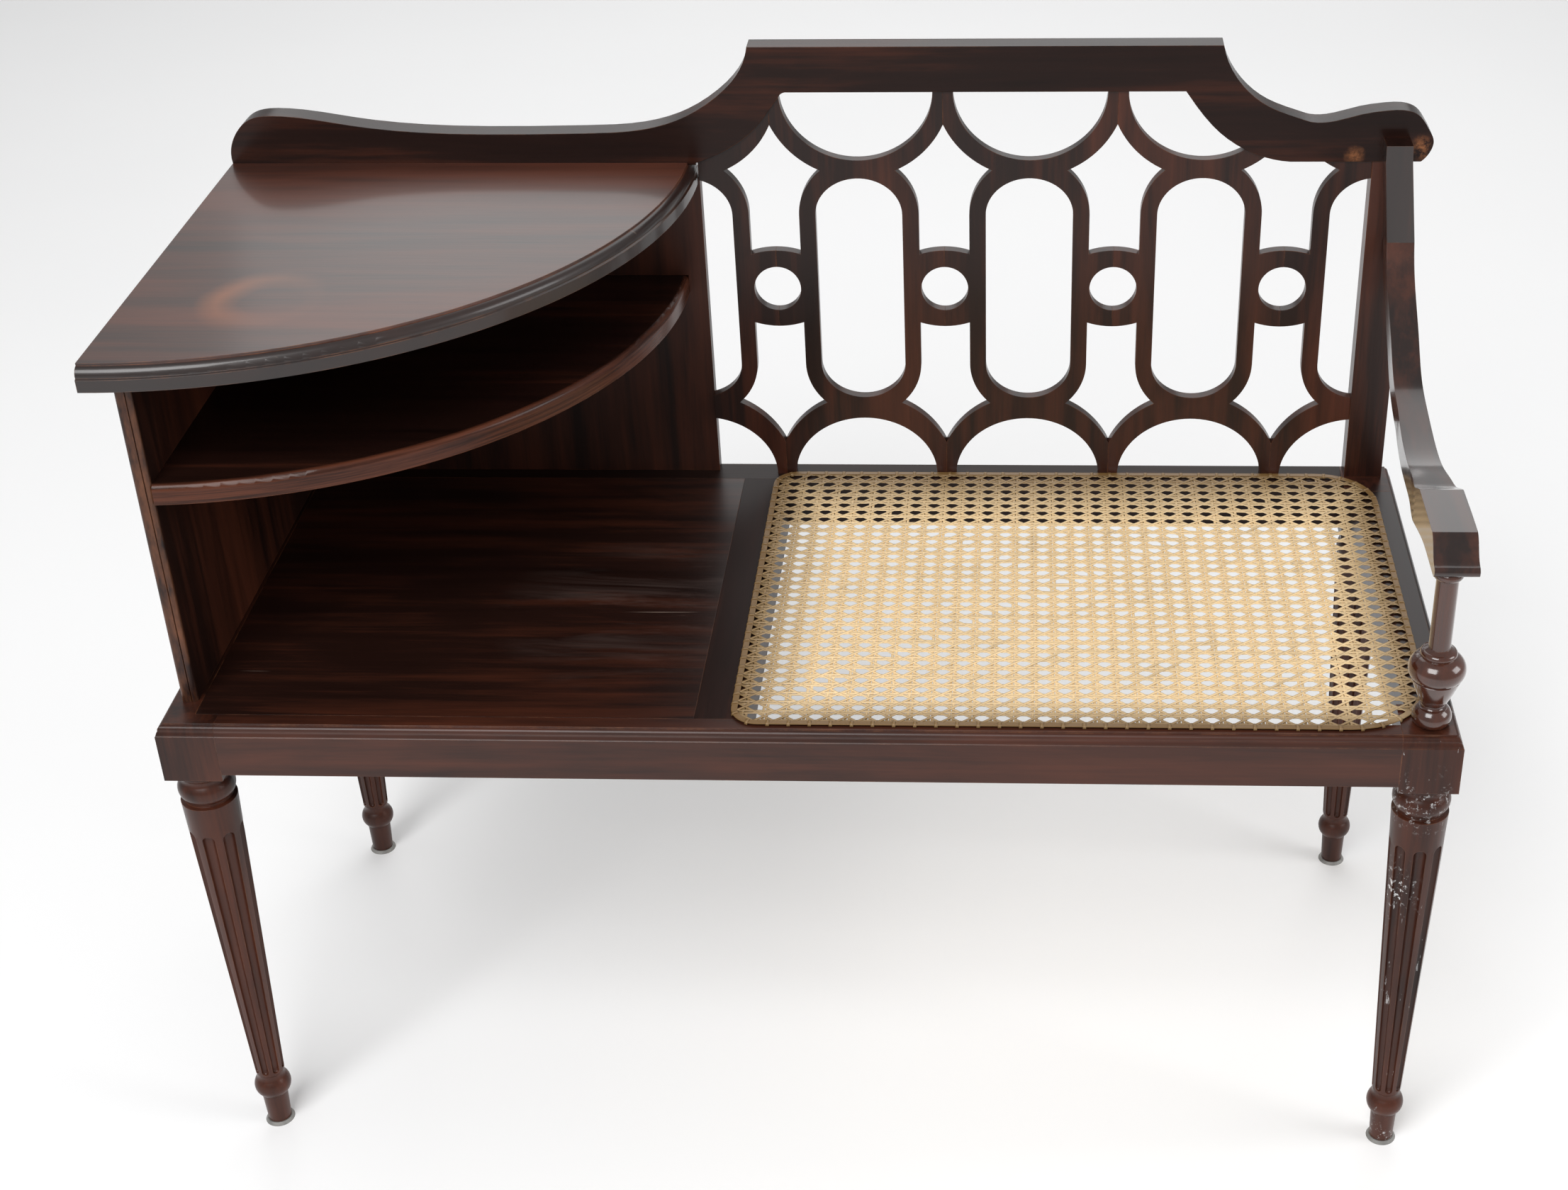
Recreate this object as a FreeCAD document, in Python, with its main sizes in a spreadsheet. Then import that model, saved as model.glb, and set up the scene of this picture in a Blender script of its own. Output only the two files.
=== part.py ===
import FreeCAD, Part
import math
import os
import re
import types

# Telephone bench: a caned seat beside a small two-tier table with a quarter-round top, in mahogany.
# Millimetres. Z points up, X to the right of someone facing the bench, Y to its back.
# The origin lies on the floor, under the middle of the bench.

SIZES = {
    # frame under the seat and the table
    "width": 1000,
    "depth": 426,
    "seat_height": 431,
    "overhang": 4.5,
    "block": 46,
    "block_height": 51,
    "rail_height": 45,
    "front_rail_thick": 18,
    "back_rail_thick": 28,
    "left_rail_thick": 28,
    "right_rail_thick": 40,
    "cross_rail_width": 39,
    "table_margin": 24.3,
    "tenon_thick": 8,
    "tenon_height": 30,
    "tenon_length": 20,
    "tenon_inset": 5,
    "rear_tenon_inset": 10,
    "side_tenon_inset": 10,
    "right_tenon_inset": 15,
    "stub_length": 10,
    "peg_depth": 6,
    # worked moulding on the outer faces of the frame
    "mould_depth": 5.5,
    "mould_height": 9.6,
    "mould_quirk": 1.4,
    "mould_ovolo": 3.3,
    # turned and fluted leg
    "neck_radius": 20.5,
    "cushion_radius": 22.6,
    "cushion_height": 15,
    "neck_height": 11,
    "shaft_top_radius": 22.2,
    "shaft_foot_radius": 12,
    "shaft_foot_height": 57,
    "collar_radius": 15.4,
    "collar_height": 16,
    "foot_height": 33,
    "foot_top_radius": 10.9,
    "foot_radius": 9.8,
    "glide_height": 3,
    "glide_radius": 12.4,
    "flute_count": 8,
    "flute_start": 32,
    "flute_top_radius": 5,
    "flute_foot_radius": 2.9,
    # lower board of the table and its cleats
    "board_thick": 16,
    "cleat": 18,
    "screw_head": 4,
    "screw_radius": 1.8,
    "screw_length": 26,
    "screw_inset": 70,
    # panels, shelf and top of the table, heights counted from the seat frame's top
    "side_inset": 12,
    "side_thick": 13,
    "side_front": 35,
    "panel_thick": 12.4,
    "panel_rebate": 7,
    "panel_edge": 1.2,
    "housing": 4,
    "panel_tenon_thick": 6,
    "panel_tenon_width": 60,
    "panel_tenon_inset": 10,
    "shelf_rise": 193,
    "shelf_thick": 16.5,
    "shelf_setback": 33.4,
    "shelf_strip": 16.6,
    "shelf_nose": 5,
    "shelf_stop": 10,
    "table_rise": 299,
    "top_thick": 20,
    "top_setback": 15,
    "top_strip": 16,
    # crest rail
    "crest_thick": 20,
    "crest_under": 360,
    "crest_rise": 398.5,
    "dowel_radius": 4,
    "dowel_length": 24,
    "dowel_inset": 60,
    "dowel_depth": 10,
    "crest_housing": 2,
    "crest_screw_rise": 14,
    "arm_screw_depth": 12,
    # fretwork splat
    "fret_thick": 9.5,
    "fret_setback": 2,
    "fret_bays": 3,
    "fret_left_cut": 10.3,
    "fret_right_cut": 5.4,
    "strap": 14,
    "end_strap": 18,
    "bridge_gap": 43,
    "bridge_height": 64,
    "bridge_dome": 3.5,
    "bridge_hole": 40.5,
    "arch_lap": 7.1,
    "leg_width": 17,
    "arch_crown": 22.3,
    "lower_lap": 19.6,
    "hang_drop": 4,
    "hang_crown": 15.5,
    "upper_lap": 17.5,
    # right stile, arm and its turned support
    "stile_width": 33,
    "stile_inset": 11,
    "stile_thick": 19,
    "stile_tenon": 12,
    "stile_tenon_width": 10,
    "stile_shoulder": 6,
    "stile_cheek": 5,
    "arm_thick": 20,
    "arm_width": 33,
    "arm_inset": 3,
    "arm_joint": 235,
    "arm_top": 320,
    "hand_rest": 160,
    "hand_thick": 25,
    "support_inset": 23,
    "bun_radius": 15,
    "urn_radius": 20.7,
    "column_radius": 8.3,
    # caned seat
    "cane_lap": 27.5,
    "cane_right": 20,
    "cane_front": 9,
    "cane_back": 18,
    "cane_thick": 1.2,
    "binder_width": 5,
    "binder_thick": 2.2,
    "cane_left_radius": 22,
    "cane_front_radius": 64,
    "cane_back_radius": 50,
    "net_columns": 15,
    "net_rows": 14,
    "net_strand": 9,
}

# Lengths that follow from the sizes above.
FITTED = {
    "top_centre": "depth - top_strip",
    "top_radius": "top_centre - top_setback",
    "shelf_centre": "depth - shelf_strip",
    "shelf_radius": "shelf_centre - shelf_setback",
    "panel_right": "top_radius - overhang + panel_edge",
    "table_length": "panel_right + table_margin",
    "cane_left": "table_length + cane_lap",
    "fret_front": "depth - crest_thick + fret_setback",
    "stile_left": "width - stile_inset - stile_width",
    "fret_pitch": "(stile_left - panel_right + fret_left_cut + fret_right_cut) / (fret_bays + 1)",
}

Vector = FreeCAD.Vector
doc = FreeCAD.newDocument("TelephoneBench")
sheet = doc.addObject("Spreadsheet::Sheet", "Sizes")
for row, (alias, number) in enumerate(SIZES.items(), start=1):
    sheet.set(f"A{row}", alias)
    sheet.set(f"B{row}", str(number))
    sheet.setAlias(f"B{row}", alias)
doc.recompute()

# Levels and edges that more than one piece uses.
RAIL_BOTTOM = "seat_height - rail_height"
BLOCK_BOTTOM = "seat_height - block_height"
TENON_LOW = "seat_height - rail_height / 2 - tenon_height / 2"
TENON_HIGH = "seat_height - rail_height / 2 + tenon_height / 2"
INNER_BACK = "depth - back_rail_thick"
CROSS_LEFT = "table_length + cross_rail_width / 2 - tenon_thick"
CROSS_RIGHT = "table_length + cross_rail_width / 2 + tenon_thick"
TABLE_UNDER = "table_rise - top_thick"
BOARD_BOTTOM = "seat_height - board_thick"
CREST_FOOT = "table_rise - crest_housing"
STILE_MIDDLE = "stile_left + stile_width / 2"
ARM_SCREW_RISES = ("table_rise + crest_screw_rise", "(arm_joint + table_rise) / 2 - peg_depth")

nodes = []


def formula(text):
    """The expression with each size's name pointed at its cell, and each fitted length worked out."""
    def cell(found):
        name = found.group()
        if name in FITTED:
            return f"({formula(FITTED[name])})"
        return f"Sizes.{name}" if name in SIZES else name
    return re.sub("[a-z][a-z_]+", cell, text)


def amount(text):
    """The number that an expression has now."""
    return float(sheet.evalExpression(formula(text)))


size = types.SimpleNamespace(**{name: amount(name) for name in [*SIZES, *FITTED]})


def bind(thing, **properties):
    """Tie properties of an object to expressions of the sheet."""
    for name, text in properties.items():
        thing.setExpression(name, formula(text))


def place(thing, x="0", y="0", z="0"):
    """Tie an object's place to expressions of the sheet."""
    for axis, text in zip("xyz", (x, y, z)):
        thing.setExpression(f"Placement.Base.{axis}", formula(text))


def piece(label, x="-width / 2", y="-depth / 2", z="0"):
    """A new sub-part, placed by default at the front left corner of the frame."""
    body = doc.addObject("PartDesign::Body", label)
    body.Label = label
    place(body, x, y, z)
    nodes.append(body)
    return body


def origin_part(body, role):
    """One of the origin planes or axes of a sub-part."""
    return next(item for item in body.Origin.OriginFeatures if item.Role == role)


def flat(point):
    """A point of a drawing."""
    return Vector(point[0], point[1], 0)


def path(start, *steps):
    """Closed outline: a pair is a straight run, two pairs an arc through the first, more a smooth curve."""
    curves = []
    here = start
    for step in steps:
        if isinstance(step, tuple):
            curves.append(Part.LineSegment(flat(here), flat(step)))
            here = step
            continue
        if len(step) == 2:
            curves.append(Part.Arc(flat(here), flat(step[0]), flat(step[1])))
        else:
            curve = Part.BSplineCurve()
            curve.interpolate([flat(here)] + [flat(point) for point in step])
            curves.append(curve)
        here = step[-1]
    if flat(here).distanceToPoint(flat(start)) > 0.001:
        curves.append(Part.LineSegment(flat(here), flat(start)))
    return curves


def draw(body, role, curves):
    """A drawing on one of the sub-part's origin planes."""
    sketch = body.newObject("Sketcher::SketchObject", "Drawing")
    sketch.AttachmentSupport = (origin_part(body, role), "")
    sketch.MapMode = "FlatFace"
    for curve in curves:
        sketch.addGeometry(curve, False)
    return sketch


def pad(body, sketch, length, reverse=False):
    """Thickness given to a drawing."""
    feature = body.newObject("PartDesign::Pad", "Pad")
    feature.Profile = sketch
    feature.Reversed = reverse
    bind(feature, Length=length)
    return feature


def cut_through(body, sketch):
    """A drawing cut right through the sub-part, both ways."""
    feature = body.newObject("PartDesign::Pocket", "Pocket")
    feature.Profile = sketch
    feature.Type = "ThroughAll"
    feature.Midplane = True
    return feature


def turn(body, sketch, kind="Revolution"):
    """A drawing spun round the upright axis of the sub-part."""
    feature = body.newObject(f"PartDesign::{kind}", kind)
    feature.Profile = sketch
    feature.ReferenceAxis = (origin_part(body, "Z_Axis"), [""])
    feature.Angle = 360
    return feature


def box(body, kind, x, y, z):
    """An Additive or Subtractive box between two expressions along each axis."""
    feature = body.newObject(f"PartDesign::{kind}Box", f"{kind}Box")
    for axis, side, (low, high) in (("x", "Length", x), ("y", "Width", y), ("z", "Height", z)):
        feature.setExpression(side, formula(f"({high}) - ({low})"))
        feature.setExpression(f"Placement.Base.{axis}", formula(low))
    return feature


def bore(body, kind, radius, length, at, rotation=None):
    """An Additive or Subtractive cylinder from a point, upright or turned."""
    feature = body.newObject(f"PartDesign::{kind}Cylinder", f"{kind}Cylinder")
    if rotation:
        feature.Placement = FreeCAD.Placement(Vector(), rotation)
    bind(feature, Radius=radius, Height=length)
    place(feature, *at)
    return feature


TO_BACK = FreeCAD.Rotation(Vector(1, 0, 0), -90)
TO_FRONT = FreeCAD.Rotation(Vector(1, 0, 0), 90)


def screw(name, at, rotation):
    """A countersunk wood screw: its head at the point, its shank along the turned axis."""
    head = doc.addObject("Part::Cone", f"{name}_head")
    shank = doc.addObject("Part::Cylinder", f"{name}_shank")
    for solid in (head, shank):
        solid.Placement = FreeCAD.Placement(Vector(), rotation)
        place(solid, *at)
    bind(head, Radius1="screw_head", Radius2="screw_radius", Height="screw_head - screw_radius")
    bind(shank, Radius="screw_radius", Height="screw_length")
    whole = doc.addObject("Part::Fuse", name)
    whole.Base = head
    whole.Tool = shank
    return whole


def screw_hole(body, at, rotation):
    """The countersunk hole that a screw fills."""
    head = body.newObject("PartDesign::SubtractiveCone", "Countersink")
    head.Placement = FreeCAD.Placement(Vector(), rotation)
    bind(head, Radius1="screw_head", Radius2="screw_radius", Height="screw_head - screw_radius")
    place(head, *at)
    bore(body, "Subtractive", "screw_radius", "screw_length", at, rotation)


def group(label, solids):
    """Alike small pieces that share one node as separate solids."""
    compound = doc.addObject("Part::Compound", label)
    compound.Label = label
    compound.Links = solids
    nodes.append(compound)
    return compound


def plane_moulding(body, role, face, outward):
    """The worked edge: quirk, ovolo and cavetto planed along one outer face, under the frame's top."""
    def at(reach, drop):
        return (face + outward * reach, size.seat_height - drop)
    ovolo_low = size.mould_quirk + size.mould_ovolo
    step = size.mould_depth - size.mould_ovolo
    bulge = size.mould_ovolo * math.sqrt(0.5)
    waste = path(
        at(1, -1),
        at(1, size.mould_height),
        at(0, size.mould_height),
        at(-0.6, size.mould_height - 0.6),
        [at(-0.8 - step / 4, size.mould_height - 3), at(-step, ovolo_low + 0.5)],
        at(-step, ovolo_low),
        [at(-size.mould_depth + bulge, ovolo_low - bulge), at(-size.mould_depth, size.mould_quirk)],
        at(-size.mould_depth, -1),
    )
    return cut_through(body, draw(body, role, waste))


def leg_outline():
    """Half section of the turned leg, from the axis out: neck, cushion, tapered shaft, collar and foot."""
    top = size.seat_height - size.block_height
    neck = top - size.neck_height
    cushion = neck - size.cushion_height
    shaft = cushion - 4
    collar_top = size.foot_height + size.collar_height
    rim = size.foot_top_radius + 1
    return path(
        (0, top + 5),
        (size.neck_radius, top + 5),
        (size.neck_radius, top - 4),
        [(size.neck_radius - 1.6, top - 7), (size.neck_radius - 0.5, neck)],
        [(size.cushion_radius, neck - size.cushion_height / 2), (size.neck_radius - 0.5, cushion)],
        (size.neck_radius - 1.5, cushion - 1),
        (size.neck_radius - 1.5, shaft + 1),
        (size.shaft_top_radius, shaft),
        (size.shaft_foot_radius, size.shaft_foot_height),
        [(size.shaft_foot_radius - 0.8, size.shaft_foot_height - 4), (rim + 1, collar_top)],
        [(size.collar_radius, size.foot_height + size.collar_height / 2), (rim, size.foot_height)],
        (size.foot_top_radius, size.foot_height),
        (size.foot_radius, size.glide_height),
        (0, size.glide_height),
    )


def flute_outline():
    """Half section of one flute's cutter: a long taper with round ends, lying along the shaft."""
    shaft_top = size.seat_height - size.block_height - size.neck_height - size.cushion_height - 4
    slope = (size.shaft_top_radius - size.shaft_foot_radius) / (shaft_top - size.shaft_foot_height)

    high = shaft_top - size.flute_start
    low = size.shaft_foot_height + size.flute_foot_radius + 2
    lean = math.atan(slope)

    def at(height, along=0.0, inward=0.0):
        on_shaft = size.shaft_foot_radius + slope * (height - size.shaft_foot_height)
        x = on_shaft + along * math.sin(lean) - inward * math.cos(lean)
        return (x, height + along * math.cos(lean) + inward * math.sin(lean))
    wide = size.flute_top_radius
    narrow = size.flute_foot_radius
    diagonal = math.sqrt(0.5)
    axis = Part.LineSegment(flat(at(low, -narrow)), flat(at(high, wide)))
    curves = path(
        at(low, -narrow),
        [at(low, -narrow * diagonal, narrow * diagonal), at(low, 0, narrow)],
        at(high, 0, wide),
        [at(high, wide * diagonal, wide * diagonal), at(high, wide)],
    )
    return axis, curves


def leg(label, right, rear):
    """One stick: the square block that takes the rails, and the turned and fluted leg below it."""
    across = "width / 2 - block / 2" if right else "-width / 2 + block / 2"
    along = "depth / 2 - block / 2" if rear else "-depth / 2 + block / 2"
    body = piece(label, across, along)
    turn(body, draw(body, "XZ_Plane", leg_outline()))
    axis, curves = flute_outline()
    drawing = draw(body, "XZ_Plane", curves)
    drawing.addGeometry(axis, True)
    flute = body.newObject("PartDesign::Groove", "Flute")
    flute.Profile = drawing
    flute.ReferenceAxis = (drawing, ["Axis0"])
    flute.Angle = 360
    flutes = body.newObject("PartDesign::PolarPattern", "Flutes")
    flutes.Originals = [flute]
    flutes.Axis = (origin_part(body, "Z_Axis"), [""])
    flutes.Angle = 360
    bind(flutes, Occurrences="flute_count")
    body.Tip = flutes
    half = ("-block / 2", "block / 2")
    box(body, "Additive", half, half, (BLOCK_BOTTOM, "seat_height"))
    plane_moulding(body, "XZ_Plane", (0.5 if right else -0.5) * size.block, 1 if right else -1)
    if not rear:
        plane_moulding(body, "YZ_Plane", -0.5 * size.block, -1)
    # mortises for the rail along the front or back, and for the rail along the side
    to_left = ("-block / 2", "tenon_length - block / 2")
    to_right = ("block / 2 - tenon_length", "block / 2")
    if rear:
        long_rail = ("block / 2 - rear_tenon_inset - tenon_thick", "block / 2 - rear_tenon_inset")
        inward = to_left
    else:
        long_rail = ("tenon_inset - block / 2", "tenon_inset + tenon_thick - block / 2")
        inward = to_right
    box(body, "Subtractive", to_left if right else to_right, long_rail, (TENON_LOW, TENON_HIGH))
    if right:
        side_rail = ("block / 2 - right_tenon_inset - tenon_thick", "block / 2 - right_tenon_inset")
    else:
        side_rail = ("side_tenon_inset - block / 2", "side_tenon_inset + tenon_thick - block / 2")
    box(body, "Subtractive", side_rail, inward, (TENON_LOW, TENON_HIGH))
    return body


def rebate_for_board(body, rear):
    """The inner top corner of a left block, cut away so that the lower board lies over it."""
    if rear:
        y = ("-block / 2", "block / 2 - back_rail_thick")
    else:
        y = ("front_rail_thick - block / 2", "block / 2")
    box(body, "Subtractive", ("left_rail_thick - block / 2", "block / 2"), y, (BOARD_BOTTOM, "seat_height"))


def legs():
    """The four legs, with the left ones cut for the board and the right ones for stile and arm support."""
    front_left = leg("leg_front_left", False, False)
    rebate_for_board(front_left, False)
    rear_left = leg("leg_rear_left", False, True)
    rebate_for_board(rear_left, True)
    front_right = leg("leg_front_right", True, False)
    bore(front_right, "Subtractive", "dowel_radius", "peg_depth",
         ("block / 2 - support_inset", "support_inset - block / 2", "seat_height - peg_depth"))
    rear_right = leg("leg_rear_right", True, True)
    box(rear_right, "Subtractive",
        ("block / 2 - stile_inset - stile_width + stile_shoulder",
         "block / 2 - stile_inset - stile_shoulder"),
        ("block / 2 - stile_thick + stile_cheek", "block / 2 - stile_cheek"),
        ("seat_height - peg_depth", "seat_height"))


def foot_glides():
    """Thin flared metal glides, one under each foot."""
    glides = []
    for side in ("-", ""):
        for end in ("-", ""):
            glide = doc.addObject("Part::Cone", "Glide")
            bind(glide, Radius1="glide_radius", Radius2="foot_radius + 1", Height="glide_height")
            place(glide, f"{side}(width / 2 - block / 2)", f"{end}(depth / 2 - block / 2)")
            glides.append(glide)
    group("foot_glides", glides)


def front_rail():
    """Front rail with its moulding, tenoned into the front blocks and mortised for the cross rail."""
    body = piece("front_rail")
    ends = ("block", "width - block")
    box(body, "Additive", ends, ("0", "front_rail_thick"), (RAIL_BOTTOM, "seat_height"))
    box(body, "Additive", ("block - tenon_length", "width - block + tenon_length"),
        ("tenon_inset", "tenon_inset + tenon_thick"), (TENON_LOW, TENON_HIGH))
    plane_moulding(body, "YZ_Plane", 0, -1)
    box(body, "Subtractive", (CROSS_LEFT, CROSS_RIGHT),
        ("front_rail_thick - stub_length", "front_rail_thick"), (TENON_LOW, TENON_HIGH))
    for x in ("block + screw_inset", "table_length - screw_inset"):
        screw_hole(body, (x, "front_rail_thick + cleat", "seat_height - board_thick - cleat / 2"), TO_FRONT)


def back_rail():
    """Plain back rail, mortised for the cross rail, the back panel and the feet of the fretwork."""
    body = piece("back_rail")
    box(body, "Additive", ("block", "width - block"), (INNER_BACK, "depth"), (RAIL_BOTTOM, "seat_height"))
    box(body, "Additive", ("block - tenon_length", "width - block + tenon_length"),
        ("depth - rear_tenon_inset - tenon_thick", "depth - rear_tenon_inset"), (TENON_LOW, TENON_HIGH))
    box(body, "Subtractive", (CROSS_LEFT, CROSS_RIGHT), (INNER_BACK, f"{INNER_BACK} + stub_length"),
        (TENON_LOW, TENON_HIGH))
    middle = "depth - panel_thick / 2"
    for x in back_panel_tenons():
        box(body, "Subtractive", (f"{x} - panel_tenon_width / 2", f"{x} + panel_tenon_width / 2"),
            (f"{middle} - panel_tenon_thick / 2", f"{middle} + panel_tenon_thick / 2"),
            ("seat_height - peg_depth", "seat_height"))
    for index in range(int(size.fret_bays) + 1):
        x = f"panel_right - fret_left_cut + fret_pitch * {index + 0.5}"
        box(body, "Subtractive", (f"{x} - leg_width / 2", f"{x} + leg_width / 2"),
            ("fret_front", "fret_front + fret_thick"), ("seat_height - peg_depth", "seat_height"))
    for x in ("block + screw_inset", "table_length - screw_inset"):
        screw_hole(body, (x, f"{INNER_BACK} - cleat", "seat_height - board_thick - cleat / 2"), TO_BACK)


def side_rails():
    """Left and right rails with their moulding, tenoned into the blocks."""
    ends = ("block", "depth - block")
    tenons = ("block - tenon_length", "depth - block + tenon_length")
    left = piece("left_rail")
    box(left, "Additive", ("0", "left_rail_thick"), ends, (RAIL_BOTTOM, "seat_height"))
    box(left, "Additive", ("side_tenon_inset", "side_tenon_inset + tenon_thick"), tenons,
        (TENON_LOW, TENON_HIGH))
    plane_moulding(left, "XZ_Plane", 0, -1)
    middle = "side_inset + side_thick / 2"
    for y in side_panel_tenons():
        box(left, "Subtractive", (f"{middle} - panel_tenon_thick / 2", f"{middle} + panel_tenon_thick / 2"),
            (f"{y} - panel_tenon_width / 2", f"{y} + panel_tenon_width / 2"),
            ("seat_height - peg_depth", "seat_height"))
    right = piece("right_rail", "width / 2")
    box(right, "Additive", ("-right_rail_thick", "0"), ends, (RAIL_BOTTOM, "seat_height"))
    box(right, "Additive", ("-right_tenon_inset - tenon_thick", "-right_tenon_inset"), tenons,
        (TENON_LOW, TENON_HIGH))
    plane_moulding(right, "XZ_Plane", 0, 1)


def cross_rail():
    """Rail between the seat and the table, with stub tenons into the front and back rails."""
    body = piece("cross_rail")
    box(body, "Additive", ("table_length", "table_length + cross_rail_width"),
        ("front_rail_thick", INNER_BACK), (RAIL_BOTTOM, "seat_height"))
    box(body, "Additive", (CROSS_LEFT, CROSS_RIGHT),
        ("front_rail_thick - stub_length", f"{INNER_BACK} + stub_length"), (TENON_LOW, TENON_HIGH))


def platform_board():
    """Lower board of the table, flush with the rails' tops, let in between the rails."""
    body = piece("platform_board")
    box(body, "Additive", ("left_rail_thick", "table_length"), ("front_rail_thick", INNER_BACK),
        (BOARD_BOTTOM, "seat_height"))


def cleats():
    """Two cleats under the board, each screwed to its rail."""
    ends = ("block", "table_length")
    level = ("seat_height - board_thick - cleat", BOARD_BOTTOM)
    height = "seat_height - board_thick - cleat / 2"
    screws = []
    front = piece("cleat_front")
    box(front, "Additive", ends, ("front_rail_thick", "front_rail_thick + cleat"), level)
    back = piece("cleat_back")
    box(back, "Additive", ends, (f"{INNER_BACK} - cleat", INNER_BACK), level)
    for x in ("block + screw_inset", "table_length - screw_inset"):
        screw_hole(front, (x, "front_rail_thick + cleat", height), TO_FRONT)
        screw_hole(back, (x, f"{INNER_BACK} - cleat", height), TO_BACK)
        front_at = (f"{x} - width / 2", "front_rail_thick + cleat - depth / 2", height)
        back_at = (f"{x} - width / 2", "depth / 2 - back_rail_thick - cleat", height)
        screws.append(screw("CleatScrew", front_at, TO_FRONT))
        screws.append(screw("CleatScrew", back_at, TO_BACK))
    group("cleat_screws", screws)


def side_panel_tenons():
    """Where the side panel's two stub tenons lie along the left rail."""
    return ("side_front + panel_tenon_width", "depth - block - panel_tenon_width / 2 - panel_tenon_inset")


def back_panel_tenons():
    """Where the back panel's two stub tenons lie along the back rail."""
    return ("block + panel_tenon_width / 2 + panel_tenon_inset", "panel_right - panel_tenon_width")


def side_panel():
    """Upright side panel: beaded front edge, rebate for the back panel, housing for the shelf."""
    body = piece("side_panel", z="seat_height")
    left = size.side_inset
    right = left + size.side_thick
    front = size.side_front
    outline = path(
        (left, size.depth),
        (left, front + 3),
        [(left + 0.9, front + 0.9), (left + 3, front)],
        (right - 5, front),
        (right - 5, front + 1.2),
        (right - 4, front + 1.2),
        (right - 4, front),
        (right - 3, front),
        [(right - 0.9, front + 0.9), (right, front + 3)],
        (right, size.depth),
    )
    pad(body, draw(body, "XY_Plane", outline), f"{TABLE_UNDER} + housing")
    box(body, "Subtractive", ("side_inset + side_thick - panel_rebate", "side_inset + side_thick"),
        ("depth - panel_thick", "depth"), ("0", f"{TABLE_UNDER} + housing"))
    box(body, "Subtractive", ("side_inset + side_thick - housing", "side_inset + side_thick"),
        ("side_front + shelf_stop", "depth - panel_thick"), ("shelf_rise - shelf_thick", "shelf_rise"))
    middle = "side_inset + side_thick / 2"
    for y in side_panel_tenons():
        box(body, "Additive", (f"{middle} - panel_tenon_thick / 2", f"{middle} + panel_tenon_thick / 2"),
            (f"{y} - panel_tenon_width / 2", f"{y} + panel_tenon_width / 2"), ("-peg_depth", "0"))


def back_panel():
    """Upright back panel of the table, let into the side panel's rebate."""
    body = piece("back_panel", z="seat_height")
    box(body, "Additive", ("side_inset + side_thick - panel_rebate", "panel_right"),
        ("depth - panel_thick", "depth"), ("0", f"{TABLE_UNDER} + housing"))
    box(body, "Subtractive", ("side_inset + side_thick - housing", "shelf_radius"),
        ("depth - panel_thick", "depth - panel_thick + housing"), ("shelf_rise - shelf_thick", "shelf_rise"))
    middle = "depth - panel_thick / 2"
    for x in back_panel_tenons():
        box(body, "Additive", (f"{x} - panel_tenon_width / 2", f"{x} + panel_tenon_width / 2"),
            (f"{middle} - panel_tenon_thick / 2", f"{middle} + panel_tenon_thick / 2"), ("-peg_depth", "0"))


def shelf():
    """Quarter-round middle shelf, housed into both panels, with a rounded nose."""
    body = piece("shelf", y="shelf_centre - depth / 2", z="seat_height + shelf_rise - shelf_thick")
    radius = size.shelf_radius
    tongue = size.side_inset + size.side_thick - size.housing
    left = tongue + size.housing
    back = size.depth - size.panel_thick + size.housing - size.shelf_centre
    stop = size.side_front + size.shelf_stop - size.shelf_centre
    front = -math.sqrt(radius ** 2 - left ** 2)
    half = radius * math.sqrt(0.5)
    outline = path((tongue, back), (tongue, stop), (left, stop), (left, front), [(half, -half), (radius, 0)],
                   (radius, back))
    pad(body, draw(body, "XY_Plane", outline), "shelf_thick")
    nose = size.shelf_nose
    top = size.shelf_thick
    bend = nose * (1 - math.sqrt(0.5))
    waste = path((radius - nose, top), [(radius - bend, top - bend), (radius, top - nose)],
                 (radius + 2, top - nose), (radius + 2, top + 1), (radius - nose, top + 1))
    turn(body, draw(body, "XZ_Plane", waste), "Groove")


def top_board():
    """Quarter-round table top with a worked edge, housed over the panels, rebated for the crest."""
    body = piece("top_board", x="-width / 2 - overhang", y="top_centre - depth / 2",
                 z=f"seat_height + {TABLE_UNDER}")
    radius = size.top_radius
    back = size.depth - size.top_centre
    half = radius * math.sqrt(0.5)
    outline = path((0, back), (0, -radius), [(half, -half), (radius, 0)], (radius, back))
    pad(body, draw(body, "XY_Plane", outline), "top_thick")
    top = size.top_thick
    waste = path((radius - 7, top + 1), (radius - 7, top - 2), (radius - 6.5, top - 2),
                 [(radius - 3, top - 4.2), (radius - 1.5, top - 9.5)], (radius, top - 10.3),
                 (radius + 2, top - 10.3), (radius + 2, top + 1))
    turn(body, draw(body, "XZ_Plane", waste), "Groove")
    box(body, "Subtractive", ("side_inset + overhang", "side_inset + side_thick + overhang"),
        ("side_front - top_centre", "depth - top_centre"), ("0", "housing"))
    box(body, "Subtractive", ("side_inset + side_thick + overhang", "top_radius"),
        ("depth - panel_thick - top_centre", "depth - top_centre"), ("0", "housing"))
    box(body, "Subtractive", ("0", "top_radius"), ("depth - crest_thick - top_centre", "depth - top_centre"),
        ("top_thick - crest_housing", "top_thick"))
    for x in dowel_places():
        bore(body, "Subtractive", "dowel_radius", "dowel_depth",
             (f"{x} + overhang", "depth - crest_thick / 2 - top_centre", "top_thick - dowel_depth"))


def dowel_places():
    """Where the crest rail's three dowels stand along the table top."""
    return ("dowel_inset", "panel_right / 2", "panel_right - dowel_inset")


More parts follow.
